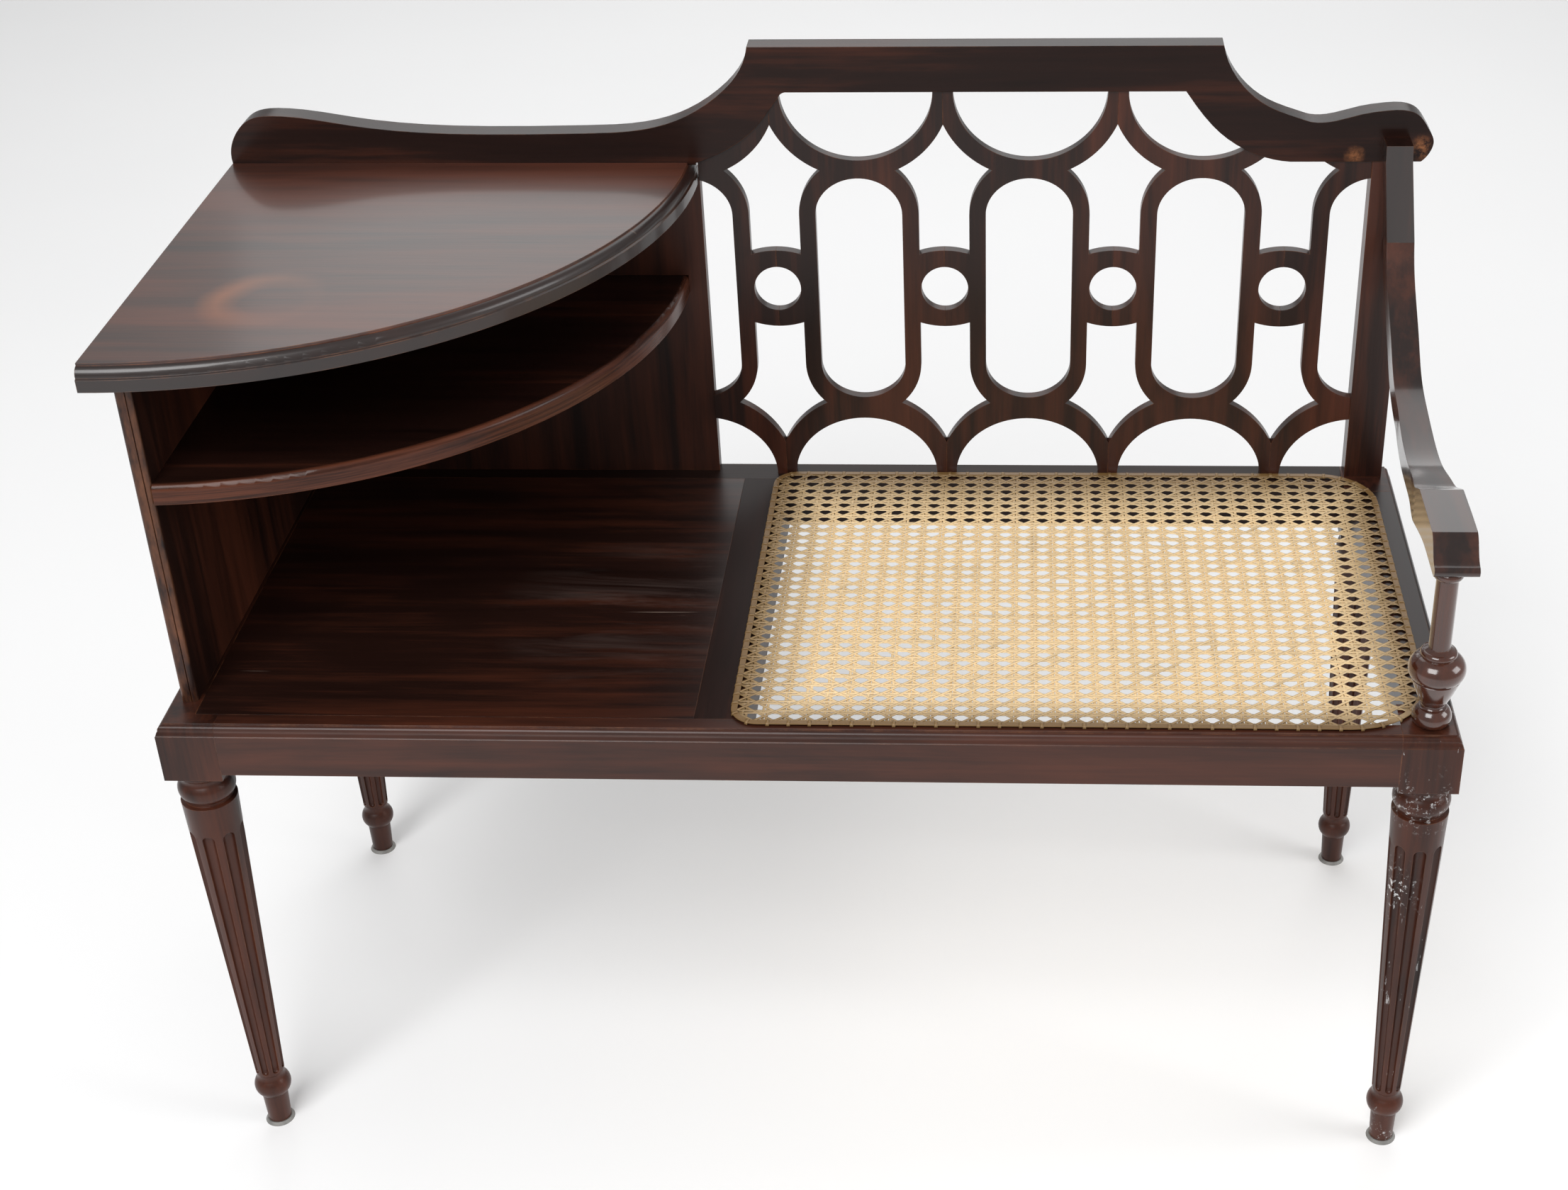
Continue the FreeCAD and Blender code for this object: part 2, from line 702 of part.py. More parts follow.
def crest_shoulders():
    """The crest's lower edge over the fretwork: up in a curve at the left, level, then down again."""
    left = size.panel_right
    right = size.stile_left
    foot = size.table_rise
    level = size.crest_under
    lift = level - foot

    def up(share):
        return foot + share * lift
    return (
        (left, foot),
        [(left + 22, up(0.154098)), (left + 41, up(0.352459)), (left + 59.6, up(0.677049))],
        (left + 71, up(0.927869)),
        [(left + 73.5, up(0.980328)), (left + 78.5, level)],
        (right - 157, level),
        [(right - 147, up(0.770492)), (right - 128, up(0.421311)), (right - 95, up(0.095082)),
         (right - 68, foot)],
    )


def crest_rail():
    """Crest rail sawn to its outline: low scroll ends, a raised middle, shoulders over the fretwork."""
    body = piece("crest_rail", y="depth / 2 - crest_thick", z="seat_height")
    foot = size.table_rise
    left = -size.overhang
    right = size.width + size.overhang
    top = size.crest_rise
    rise_left = size.panel_right + 47
    rise_right = right - 176.5
    hump = left + 43.5
    sag = rise_left - 95 - hump
    outline = path(
        (left, foot),
        [(left + 0.4, foot + 12), (left + 6, foot + 25), (left + 18.5, foot + 37.5), (hump, foot + 41.7),
         (hump + 0.21 * sag, foot + 33), (hump + 0.6 * sag, foot + 25.2), (hump + 0.86 * sag, foot + 26),
         (hump + sag, foot + 28.6),
         (rise_left - 58.6, foot + 38.4), (rise_left - 27.6, foot + 57.3), (rise_left - 9, foot + 76.7),
         (rise_left, top)],
        (rise_right, top),
        [(rise_right + 14, top - 30), (rise_right + 38, top - 51), (rise_right + 66, top - 62.3),
         (rise_right + 75, top - 65), (rise_right + 92.5, top - 64.6), (rise_right + 115, top - 58.7),
         (rise_right + 138, top - 55.2), (rise_right + 149.6, top - 55), (rise_right + 161.5, top - 58.8),
         (rise_right + 172, top - 72), (right, top - 82), (right - 1.6, top - 90), (right - 9, foot)],
        (size.stile_left - 68, foot),
    )
    outline = outline[:-1]
    shoulders = crest_shoulders()
    under = path(*shoulders)[:-1]
    outline += under
    outline.append(Part.LineSegment(flat(shoulders[0]), flat((left, foot))))
    pad(body, draw(body, "XZ_Plane", outline), "crest_thick", True)
    # lip that drops into the rebate along the table top's back
    box(body, "Additive", ("-overhang", "top_radius - overhang"), ("0", "crest_thick"),
        (CREST_FOOT, "table_rise"))
    for x in dowel_places():
        bore(body, "Subtractive", "dowel_radius", "dowel_length - dowel_depth + crest_housing",
             (x, "crest_thick / 2", CREST_FOOT))
    box(body, "Subtractive", stile_tenon_span(),
        ("crest_thick / 2 - tenon_thick / 2", "crest_thick / 2 + tenon_thick / 2"),
        ("table_rise", "table_rise + stile_tenon"))
    screw_hole(body, (STILE_MIDDLE, "crest_thick", ARM_SCREW_RISES[0]), TO_FRONT)


def stile_tenon_span():
    """How far the stile's tenons reach across, inside its own width."""
    return ("stile_left + stile_shoulder", "stile_left + stile_shoulder + stile_tenon_width")


def crest_dowels():
    """Three dowels that hold the crest rail on the table top."""
    dowels = []
    for x in dowel_places():
        dowel = doc.addObject("Part::Cylinder", "Dowel")
        bind(dowel, Radius="dowel_radius", Height="dowel_length")
        place(dowel, f"{x} - width / 2", "depth / 2 - crest_thick / 2",
              "seat_height + table_rise - dowel_depth")
        dowels.append(dowel)
    group("crest_dowels", dowels)


def fret_sizes():
    """Radii and heights of the fretwork's circles and loops, from the pitch of its bays."""
    pitch = amount("fret_pitch")
    arch = pitch / 2 + size.arch_lap
    loop = (pitch - size.bridge_gap) / 2
    hang_centre = size.crest_under + size.hang_drop
    loop_low = arch - size.lower_lap
    loop_high = hang_centre - arch + size.upper_lap
    middle = (loop_low + loop_high) / 2 + 2
    return types.SimpleNamespace(
        pitch=pitch, arch=arch, loop=loop, hang_centre=hang_centre,
        low=loop_low + loop, high=loop_high - loop, middle=middle, half_open=pitch / 2 - size.leg_width / 2)


def oval_outline(half_width, half_height, height):
    """A whole ellipse about the bay's axis."""
    if half_width >= half_height:
        return [Part.Ellipse(flat((0, height)), half_width, half_height)]
    return [Part.Ellipse(flat((0, height + half_height)), flat((half_width, height)), flat((0, height)))]


def loop_outline(fret):
    """The long opening inside a loop: straight sides between two half ellipses."""
    wide = fret.loop - size.strap
    tall = fret.loop - size.end_strap
    low = Part.Ellipse(flat((0, fret.low)), max(wide, tall), min(wide, tall))
    high = Part.Ellipse(flat((0, fret.high)), max(wide, tall), min(wide, tall))
    return [
        Part.ArcOfEllipse(low, math.pi, 2 * math.pi),
        Part.LineSegment(flat((wide, fret.low)), flat((wide, fret.high))),
        Part.ArcOfEllipse(high, 0, math.pi),
        Part.LineSegment(flat((-wide, fret.high)), flat((-wide, fret.low))),
    ]


def meeting(centre_low, radius_low, centre_high, radius_high):
    """Half width and height where a circle over another on one axis crosses it."""
    gap = centre_high - centre_low
    rise = (gap ** 2 + radius_low ** 2 - radius_high ** 2) / (2 * gap)
    return math.sqrt(radius_low ** 2 - rise ** 2), centre_low + rise


def spandrel(fret, upper, side):
    """The sawn space between two bays, over two arches or under two hanging curves, up to the bridge."""
    band = (fret.hang_centre, fret.arch) if upper else (0, fret.arch)
    loop_height = fret.high if upper else fret.low
    turn_way = -1 if upper else 1
    node = side * fret.pitch / 2
    if upper:
        cusp_x, cusp_z = meeting(loop_height, fret.loop, *band)
    else:
        cusp_x, cusp_z = meeting(*band, loop_height, fret.loop)
    notch = band[0] + turn_way * math.sqrt(fret.arch ** 2 - (fret.pitch / 2) ** 2)
    bridge = fret.middle - turn_way * size.bridge_height / 2
    dome = bridge - turn_way * size.bridge_dome

    def on_band(x):
        return (x, band[0] + turn_way * math.sqrt(fret.arch ** 2 - x ** 2))

    def on_loop(x):
        return (x, loop_height - turn_way * math.sqrt(fret.loop ** 2 - x ** 2))

    def half(point, mirrored):
        x, height = point
        reach = side * (fret.pitch / 2 - x)
        return (node + reach if mirrored else node - reach, height)
    band_mid = on_band((cusp_x + fret.pitch / 2) / 2)
    loop_mid = on_loop((cusp_x + fret.loop) / 2)
    return path(
        (node, notch),
        [half(band_mid, False), half((cusp_x, cusp_z), False)],
        [half(loop_mid, False), half((fret.loop, loop_height), False)],
        half((fret.loop, bridge), False),
        [(node, dome), half((fret.loop, bridge), True)],
        half((fret.loop, loop_height), True),
        [half(loop_mid, True), half((cusp_x, cusp_z), True)],
        [half(band_mid, True), (node, notch)],
    )


def fret_board(label, index):
    """One board of the fretwork: arches, loops, bridges with round holes and hanging curves."""
    fret = fret_sizes()
    last = int(size.fret_bays) + 1
    body = piece(label, f"-width / 2 + panel_right - fret_left_cut + fret_pitch * {index}",
                 "fret_front - depth / 2", "seat_height")
    left = size.fret_left_cut if index == 0 else -fret.pitch / 2
    right = -size.fret_right_cut if index == last else fret.pitch / 2
    top = size.crest_rise
    foot = -size.peg_depth
    blank = path((left, foot), (right, foot), (right, top), (left, top), (left, foot))
    pad(body, draw(body, "XZ_Plane", blank), "fret_thick", True)
    # the crest's lower edge, seen from this bay's axis, bounds the board above
    axis = size.panel_right - size.fret_left_cut + fret.pitch * index

    def seen(step):
        if isinstance(step, tuple):
            return (step[0] - axis, step[1])
        return [(x - axis, height) for x, height in step]
    shoulders = [seen(step) for step in crest_shoulders()]
    over = path((-axis, shoulders[0][1]), *shoulders, (size.width - axis, size.table_rise),
                (size.width - axis, top + 1), (-axis, top + 1))
    cut_through(body, draw(body, "XZ_Plane", over))
    arch_open = oval_outline(fret.half_open, fret.arch - size.arch_crown, 0)
    hang_open = oval_outline(fret.half_open, fret.arch - size.hang_drop - size.hang_crown, size.crest_under)
    cut_through(body, draw(body, "XZ_Plane", arch_open))
    cut_through(body, draw(body, "XZ_Plane", loop_outline(fret)))
    cut_through(body, draw(body, "XZ_Plane", hang_open))
    for side in (-1, 1):
        if (side < 0 and index == 0) or (side > 0 and index == last):
            continue
        for upper in (False, True):
            cut_through(body, draw(body, "XZ_Plane", spandrel(fret, upper, side)))
        hole = Part.Circle(flat((side * fret.pitch / 2, fret.middle)), Vector(0, 0, 1), size.bridge_hole / 2)
        cut_through(body, draw(body, "XZ_Plane", [hole]))
    # below the rail's top only the feet go on, as tenons
    wide = fret.half_open
    low_left = max(left, -wide) if index else left
    low_right = min(right, wide) if index != last else right
    slot = path((low_left, foot - 1), (low_right, foot - 1), (low_right, 0), (low_left, 0))
    cut_through(body, draw(body, "XZ_Plane", slot))


def fretwork():
    """The five boards of the splat, jointed through the middles of its bridges."""
    middle = [f"fret_bay_{number}" for number in range(1, int(size.fret_bays) + 1)]
    for index, label in enumerate(["fret_left_half"] + middle + ["fret_right_half"]):
        fret_board(label, index)


def right_stile():
    """Upright at the right of the back, from the rear block to the crest rail."""
    body = piece("right_stile", z="seat_height")
    edges = ("stile_left", "width - stile_inset")
    box(body, "Additive", edges, ("depth - stile_thick", "depth"), ("0", "table_rise"))
    box(body, "Additive", ("stile_left + stile_shoulder", "width - stile_inset - stile_shoulder"),
        ("depth - stile_thick + stile_cheek", "depth - stile_cheek"), ("-peg_depth", "0"))
    box(body, "Additive", stile_tenon_span(),
        ("depth - crest_thick / 2 - tenon_thick / 2", "depth - crest_thick / 2 + tenon_thick / 2"),
        ("table_rise", "table_rise + stile_tenon"))
    screw_hole(body, (STILE_MIDDLE, "depth", ARM_SCREW_RISES[1]), TO_FRONT)


def arm_upper():
    """Upright upper piece of the arm, leaning outwards as it comes down in front of the stile."""
    body = piece("arm_upper", x="width / 2", y="depth / 2 - crest_thick - arm_thick", z="seat_height")
    low = size.arm_joint
    top = size.arm_top
    outline = path((-29.3, low), (-6.3, low), (-14.2, top - 14), (-15, top), (-36.8, top), (-36.4, top - 14))
    pad(body, draw(body, "XZ_Plane", outline), "arm_thick", True)
    for height in ARM_SCREW_RISES:
        bore(body, "Subtractive", "screw_radius", "arm_screw_depth",
             ("-stile_inset - stile_width / 2", "arm_thick", height), TO_FRONT)


def arm_sweep():
    """Lower piece of the arm: sweeps down and forward from the upper piece to a scrolled hand-rest."""
    body = piece("arm_sweep", x="width / 2 - arm_inset", z="seat_height")
    joint = size.arm_joint
    back = size.depth - size.crest_thick
    front = back - size.arm_thick
    rest = size.hand_rest
    under = rest - size.hand_thick
    rest_end = 97

    def run(share):
        return rest_end + share * (front - rest_end)
    outline = path(
        (front, joint),
        [(run(0.927), joint - 27), (run(0.848), joint - 43), (run(0.792), joint - 54),
         (run(0.661), joint - 81), (run(0.543), joint - 90.5), (run(0.377), rest - 23.5),
         (run(0.28), rest - 23.5), (run(0.156), rest - 16),
         (run(0.083), rest - 11), (run(0.028), rest - 3.5), (rest_end, rest)],
        (34, rest),
        [(27, rest - 5), (21, rest - 12), (12, rest - 17)],
        [(9.5, under + 3), (13, under)],
        (50, under),
        [(78, under - 3), (run(0.048), under - 10), (run(0.145), under - 14), (run(0.287), under - 18),
         (run(0.412), under - 17), (run(0.561), joint - 109), (run(0.692), joint - 98),
         (run(0.834), joint - 69),
         (run(0.972), joint - 41), (back - 5, joint - 18), (back, joint)],
    )
    pad(body, draw(body, "YZ_Plane", outline), "arm_width", True)
    inner = path((-size.arm_width - 1, 100), (-size.arm_width, 100), (-size.arm_width, 112),
                 [(-size.arm_width + 1.5, 130), (-size.arm_width + 3.5, 150), (-size.arm_width + 5, 185),
                  (-size.arm_width + 6.7, 254)],
                 (-size.arm_width + 6.7, size.depth), (-size.arm_width - 1, size.depth))
    cut_through(body, draw(body, "XY_Plane", inner))
    outer = path((1, 60), (0, 60), (-3.3, 300), (-3.3, size.depth), (1, size.depth))
    cut_through(body, draw(body, "XY_Plane", outer))
    bore(body, "Subtractive", "dowel_radius", "peg_depth",
         ("arm_inset - support_inset", "support_inset", "hand_rest - hand_thick"))


def arm_support():
    """Turned support under the hand-rest: bun, neck, urn with a groove, and a slim column."""
    body = piece("arm_support", x="width / 2 - support_inset", y="support_inset - depth / 2",
                 z="seat_height")
    top = size.hand_rest - size.hand_thick
    bun = size.bun_radius
    urn = size.urn_radius
    column = size.column_radius
    outline = path(
        (0, -size.peg_depth),
        (size.dowel_radius, -size.peg_depth),
        (size.dowel_radius, 0),
        (bun - 2.5, 0),
        [(bun, 8), (bun - 4, 15)],
        [(column, 17), (column + 2, 20)],
        [(urn - 6, 30), (urn - 2, 41)],
        (urn - 3, 42),
        (urn - 1, 43),
        [(urn, 54), (column + 5, 61)],
        [(column + 5.5, 63.5), (column + 3, 66)],
        (column, 68),
        (column, top - 7),
        [(column + 3.2, top - 3.5), (column + 2, top)],
        (size.dowel_radius, top),
        (size.dowel_radius, top + size.peg_depth),
        (0, top + size.peg_depth),
    )
    turn(body, draw(body, "XZ_Plane", outline))


def arm_screws():
    """Two screws from behind, through the crest rail and the stile into the arm."""
    screws = []
    for height in ARM_SCREW_RISES:
        screws.append(screw("ArmScrew", ("width / 2 - stile_inset - stile_width / 2", "depth / 2",
                                         f"seat_height + {height}"), TO_FRONT))
    group("arm_screws", screws)


def seat_outline(inset):
    """The rounded outline of the caned field, drawn in by an inset."""
    left = size.cane_left + inset
    right = size.width - size.cane_right - inset
    front = size.cane_front + inset
    back = size.depth - size.cane_back - inset
    corners = (
        (left, front, size.cane_left_radius - inset, 1, 1),
        (right, front, size.cane_front_radius - inset, -1, 1),
        (right, back, size.cane_back_radius - inset, -1, -1),
        (left, back, size.cane_left_radius - inset, 1, -1),
    )
    steps = []
    for number, (x, y, radius, along, up) in enumerate(corners):
        bend = radius * (1 - math.sqrt(0.5))
        level = (x + along * radius, y)
        upright = (x, y + up * radius)
        first, second = (upright, level) if number % 2 == 0 else (level, upright)
        steps += [first, [(x + along * bend, y + up * bend), second]]
    return path(*steps)


def cane_binder():
    """Binder strip that closes the drilled edge of the caned seat."""
    body = piece("cane_binder", z="seat_height")
    pad(body, draw(body, "XY_Plane", seat_outline(0) + seat_outline(size.binder_width)), "binder_thick")


def clears_corners(x, y, tall):
    """Whether a gap whose right edge is at x stays clear of the two round right corners and the blocks."""
    block_edge = size.width - size.block - size.net_strand / 2
    in_front = y - tall < size.block + size.net_strand / 2
    behind = y + tall > size.depth - size.block - size.net_strand / 2
    return x < block_edge or not (in_front or behind)


def cane_panel():
    """The caned seat as an open net of straight strands, over the rails and across the opening."""
    body = piece("cane_panel", z="seat_height")
    columns = int(size.net_columns)
    rows = int(size.net_rows)
    left = size.table_length + size.cross_rail_width
    right = size.width - size.right_rail_thick
    front = size.front_rail_thick
    back = size.depth - size.back_rail_thick
    step_x = (right - left) / columns
    step_y = (back - front) / rows
    wide = (step_x - size.net_strand) / 2
    tall = (step_y - size.net_strand) / 2
    gaps = []
    for column in range(columns):
        for row in range(rows):
            x = left + step_x * (column + 0.5)
            y = front + step_y * (row + 0.5)
            if clears_corners(x + wide, y, tall):
                gaps += path((x - wide, y - tall), (x + wide, y - tall), (x + wide, y + tall),
                             (x - wide, y + tall))
    pad(body, draw(body, "XY_Plane", seat_outline(size.binder_width) + gaps), "cane_thick")


def check_and_write():
    """Stop on any failed object or broken shape, then write each sub-part."""
    doc.recompute()
    for item in doc.Objects:
        bad = [state for state in item.State if state in ("Invalid", "Error")]
        if bad:
            raise RuntimeError(f"{item.Name} of {item.getParentGroup()} failed: {item.State}")
    for node in nodes:
        if node.Shape.isNull() or not node.Shape.isValid():
            raise RuntimeError(f"{node.Label} has no valid shape")
    os.makedirs("parts", exist_ok=True)
    for node in nodes:
        node.Shape.exportStep(f"parts/{node.Label}.step")
        print(node.Label, len(node.Shape.Solids), round(node.Shape.Volume))


legs()
foot_glides()
front_rail()
back_rail()
side_rails()
cross_rail()
platform_board()
cleats()
side_panel()
back_panel()
shelf()
top_board()
crest_rail()
crest_dowels()
fretwork()
right_stile()
arm_upper()
arm_sweep()
arm_support()
arm_screws()
cane_binder()
cane_panel()
check_and_write()
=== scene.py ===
import math

import bmesh
import bpy
from mathutils import Matrix, Vector


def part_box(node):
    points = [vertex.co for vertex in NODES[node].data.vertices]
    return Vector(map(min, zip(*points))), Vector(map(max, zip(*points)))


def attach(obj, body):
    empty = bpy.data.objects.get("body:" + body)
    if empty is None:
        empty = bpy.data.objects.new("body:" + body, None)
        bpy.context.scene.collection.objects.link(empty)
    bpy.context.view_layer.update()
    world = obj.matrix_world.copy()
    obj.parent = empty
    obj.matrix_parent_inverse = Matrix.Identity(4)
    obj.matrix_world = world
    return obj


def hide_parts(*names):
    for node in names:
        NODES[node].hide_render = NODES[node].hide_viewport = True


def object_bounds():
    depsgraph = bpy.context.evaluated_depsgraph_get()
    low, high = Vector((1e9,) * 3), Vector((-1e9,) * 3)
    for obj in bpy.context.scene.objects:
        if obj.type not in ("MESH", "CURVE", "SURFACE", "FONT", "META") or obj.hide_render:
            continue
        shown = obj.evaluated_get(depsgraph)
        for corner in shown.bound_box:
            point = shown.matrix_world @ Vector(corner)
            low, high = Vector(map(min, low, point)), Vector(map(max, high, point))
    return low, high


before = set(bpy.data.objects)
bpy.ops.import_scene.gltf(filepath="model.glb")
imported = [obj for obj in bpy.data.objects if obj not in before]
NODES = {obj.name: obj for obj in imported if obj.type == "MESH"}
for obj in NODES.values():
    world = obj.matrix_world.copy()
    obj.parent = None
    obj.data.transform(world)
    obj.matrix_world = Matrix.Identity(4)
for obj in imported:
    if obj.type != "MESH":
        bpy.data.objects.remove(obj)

bl_info = {
    "name": "Telephone bench",
    "version": (1, 0, 0),
    "blender": (4, 5, 0),
    "location": "View3D > Sidebar > Bench",
    "description": "Woven cane, mahogany and stage for the telephone bench",
    "category": "Object",
}

CAD_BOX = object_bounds()
LEFT = CAD_BOX[0][0]
FRONT = CAD_BOX[0][1]
BACK = CAD_BOX[1][1]
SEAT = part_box("front_rail")[1].z
FIELD_LOW, FIELD_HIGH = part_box("cane_binder")


class CaneSettings(bpy.types.PropertyGroup):
    """Sizes and colours of the woven seat."""
    column_pitch: bpy.props.FloatProperty(
        name="Column pitch", description="Distance between holes along the front",
        default=0.0159, unit="LENGTH")
    row_pitch: bpy.props.FloatProperty(
        name="Row pitch", description="Distance between holes along the sides",
        default=0.0126, unit="LENGTH")
    strand_width: bpy.props.FloatProperty(
        name="Strand width", description="Width of one strand of split cane", default=0.0022, unit="LENGTH")
    strand_thickness: bpy.props.FloatProperty(
        name="Strand thickness", description="Thickness of one strand", default=0.0005, unit="LENGTH")
    pair_spread: bpy.props.FloatProperty(
        name="Pair spread", description="Distance of each strand from the middle of its pair",
        default=0.0014, unit="LENGTH")
    binder_width: bpy.props.FloatProperty(
        name="Binder width", description="Width of the strip that closes the edge",
        default=0.005, unit="LENGTH")
    honey: bpy.props.FloatVectorProperty(
        name="Honey", description="Colour of clean cane", subtype="COLOR", default=(0.76, 0.56, 0.31))
    stained: bpy.props.FloatVectorProperty(
        name="Stained", description="Colour of cane along the rails", subtype="COLOR",
        default=(0.16, 0.088, 0.027))


class WoodSettings(bpy.types.PropertyGroup):
    """Colours of the mahogany."""
    dark: bpy.props.FloatVectorProperty(
        name="Dark", description="Darkest grain", subtype="COLOR", default=(0.004, 0.0018, 0.0014))
    middle: bpy.props.FloatVectorProperty(
        name="Middle", description="Body colour of the wood", subtype="COLOR",
        default=(0.014, 0.0052, 0.0036))
    light: bpy.props.FloatVectorProperty(
        name="Light", description="Lightest figure", subtype="COLOR", default=(0.085, 0.023, 0.011))
    worn: bpy.props.FloatVectorProperty(
        name="Worn", description="Bare wood at rubbed edges", subtype="COLOR", default=(0.27, 0.10, 0.038))


class StageSettings(bpy.types.PropertyGroup):
    """Where the camera stands and how it looks."""
    camera_place: bpy.props.FloatVectorProperty(
        name="Camera place", description="Where the camera stands", subtype="XYZ",
        default=(0.16348, -1.64272, 1.44325), unit="LENGTH")
    camera_turn: bpy.props.FloatVectorProperty(
        name="Camera turn", description="Tilt, roll and heading of the camera", subtype="EULER",
        default=(math.radians(58.19), math.radians(-1.18), math.radians(2.97)))
    lens: bpy.props.FloatProperty(
        name="Lens", description="Focal length on a 36 mm wide sensor", default=53.08)
    shift: bpy.props.FloatProperty(
        name="Shift", description="Sideways shift of the view", default=-0.0839)


def settings():
    """The scene's settings for this bench."""
    return bpy.context.scene.bench_cane, bpy.context.scene.bench_wood, bpy.context.scene.bench_stage


# Small helpers for node trees

def link(tree, source, target):
    """Joins two sockets."""
    tree.links.new(source, target)


def math_node(tree, operation, first, second=None, third=None, clamp=False):
    """Adds a Math node and returns its output; sockets are linked and numbers set."""
    made = tree.nodes.new("ShaderNodeMath")
    made.operation = operation
    made.use_clamp = clamp
    for index, value in enumerate((first, second, third)):
        if value is None:
            continue
        if isinstance(value, (int, float)):
            made.inputs[index].default_value = value
        else:
            link(tree, value, made.inputs[index])
    return made.outputs[0]


def mix_colour(tree, factor, first, second):
    """Adds a colour Mix node and returns its output; sockets 0, 6 and 7 are the factor and the colours."""
    made = tree.nodes.new("ShaderNodeMix")
    made.data_type = "RGBA"
    for socket, value in ((made.inputs[0], factor), (made.inputs[6], first), (made.inputs[7], second)):
        if isinstance(value, bpy.types.NodeSocket):
            link(tree, value, socket)
        elif isinstance(value, (int, float)):
            socket.default_value = value
        else:
            socket.default_value = (*value, 1.0)
    return made.outputs[2]


def split_axes(tree, vector):
    """Adds a Separate XYZ node and returns its outputs."""
    made = tree.nodes.new("ShaderNodeSeparateXYZ")
    link(tree, vector, made.inputs[0])
    return made.outputs


def ramp(tree, source, stops):
    """Adds a colour ramp with (position, colour or grey) stops and returns its output."""
    made = tree.nodes.new("ShaderNodeValToRGB")
    elements = made.color_ramp.elements
    while len(elements) < len(stops):
        elements.new(0.5)
    for element, (position, value) in zip(elements, stops):
        element.position = position
        element.color = (value, value, value, 1) if isinstance(value, (int, float)) else (*value, 1)
    link(tree, source, made.inputs[0])
    return made.outputs[0]


def noise(tree, vector, scale, detail=4.0, rough=0.55, warp=0.0):
    """Adds a Noise texture and returns its factor."""
    made = tree.nodes.new("ShaderNodeTexNoise")
    made.inputs["Scale"].default_value = scale
    made.inputs["Detail"].default_value = detail
    made.inputs["Roughness"].default_value = rough
    made.inputs["Distortion"].default_value = warp
    link(tree, vector, made.inputs["Vector"])
    return made.outputs["Fac"]


def stretched(tree, vector, scale, turn=(0, 0, 0), shift=(0, 0, 0)):
    """Adds a Mapping node and returns the mapped vector."""
    made = tree.nodes.new("ShaderNodeMapping")
    made.inputs["Location"].default_value = shift
    made.inputs["Rotation"].default_value = turn
    made.inputs["Scale"].default_value = scale
    link(tree, vector, made.inputs["Vector"])
    return made.outputs["Vector"]


def new_group(name, inputs, outputs):
    """Starts a shader node group with typed inputs and outputs; returns it with its two end nodes."""
    group = bpy.data.node_groups.new(name, "ShaderNodeTree")
    for label, kind, default in inputs:
        socket = group.interface.new_socket(label, in_out="INPUT", socket_type=kind)
        if default is not None:
            socket.default_value = default
    for label, kind in outputs:
        group.interface.new_socket(label, in_out="OUTPUT", socket_type=kind)
    return group, group.nodes.new("NodeGroupInput"), group.nodes.new("NodeGroupOutput")


def grain_group():
    """Mahogany figure: long streaks, broad clouds and fine pores, running along local X."""
    name = "Mahogany grain"
    if name in bpy.data.node_groups:
        return bpy.data.node_groups[name]
    wood = settings()[1]
    group, inside, outside = new_group(
        name,
        [("Vector", "NodeSocketVector", None), ("Lightness", "NodeSocketFloat", 0.5)],
        [("Color", "NodeSocketColor"), ("Pores", "NodeSocketFloat"), ("Sheen", "NodeSocketFloat")])
    place = inside.outputs["Vector"]
    clouds = noise(group, stretched(group, place, (1.6, 7, 7)), 1.0, 5, 0.6, 0.6)
    streaks = noise(group, stretched(group, place, (3.2, 62, 62)), 1.0, 6, 0.62, 0.35)
    fine = noise(group, stretched(group, place, (16, 420, 420)), 1.0, 3, 0.6)
    figure = math_node(group, "ADD", math_node(group, "MULTIPLY", clouds, 0.75),
                       math_node(group, "MULTIPLY", streaks, 0.5))
    figure = math_node(group, "ADD", figure, math_node(group, "SUBTRACT", inside.outputs["Lightness"], 0.62))
    figure = math_node(group, "ADD", figure, math_node(group, "MULTIPLY", fine, 0.12), clamp=True)
    colour = ramp(group, figure, [
        (0.25, tuple(wood.dark)), (0.5, tuple(wood.middle)), (0.82, tuple(wood.light))])
    link(group, colour, outside.inputs["Color"])
    link(group, fine, outside.inputs["Pores"])
    link(group, clouds, outside.inputs["Sheen"])
    return group


BEVEL_SAMPLES = 4
RUBBED_RADIUS = 0.0011
ROUNDED_RADIUS = 0.0007


def edge_group():
    """Rubbed arrises: where a rounded normal leaves the true one, broken up by noise."""
    name = "Rubbed edges"
    if name in bpy.data.node_groups:
        return bpy.data.node_groups[name]
    group, inside, outside = new_group(
        name,
        [("Vector", "NodeSocketVector", None), ("Amount", "NodeSocketFloat", 0.5)],
        [("Mask", "NodeSocketFloat")])
    soft = group.nodes.new("ShaderNodeBevel")
    soft.samples = BEVEL_SAMPLES
    soft.inputs["Radius"].default_value = RUBBED_RADIUS
    geometry = group.nodes.new("ShaderNodeNewGeometry")
    dot = group.nodes.new("ShaderNodeVectorMath")
    dot.operation = "DOT_PRODUCT"
    link(group, soft.outputs["Normal"], dot.inputs[0])
    link(group, geometry.outputs["Normal"], dot.inputs[1])
    edge = ramp(group, dot.outputs["Value"], [(0.80, 1.0), (0.985, 0.0)])
    broken = ramp(group, noise(group, inside.outputs["Vector"], 38, 6, 0.7), [(0.42, 0.0), (0.62, 1.0)])
    mask = math_node(group, "MULTIPLY", edge, broken)
    mask = math_node(group, "MULTIPLY", mask, inside.outputs["Amount"], clamp=True)
    link(group, mask, outside.inputs["Mask"])
    return group


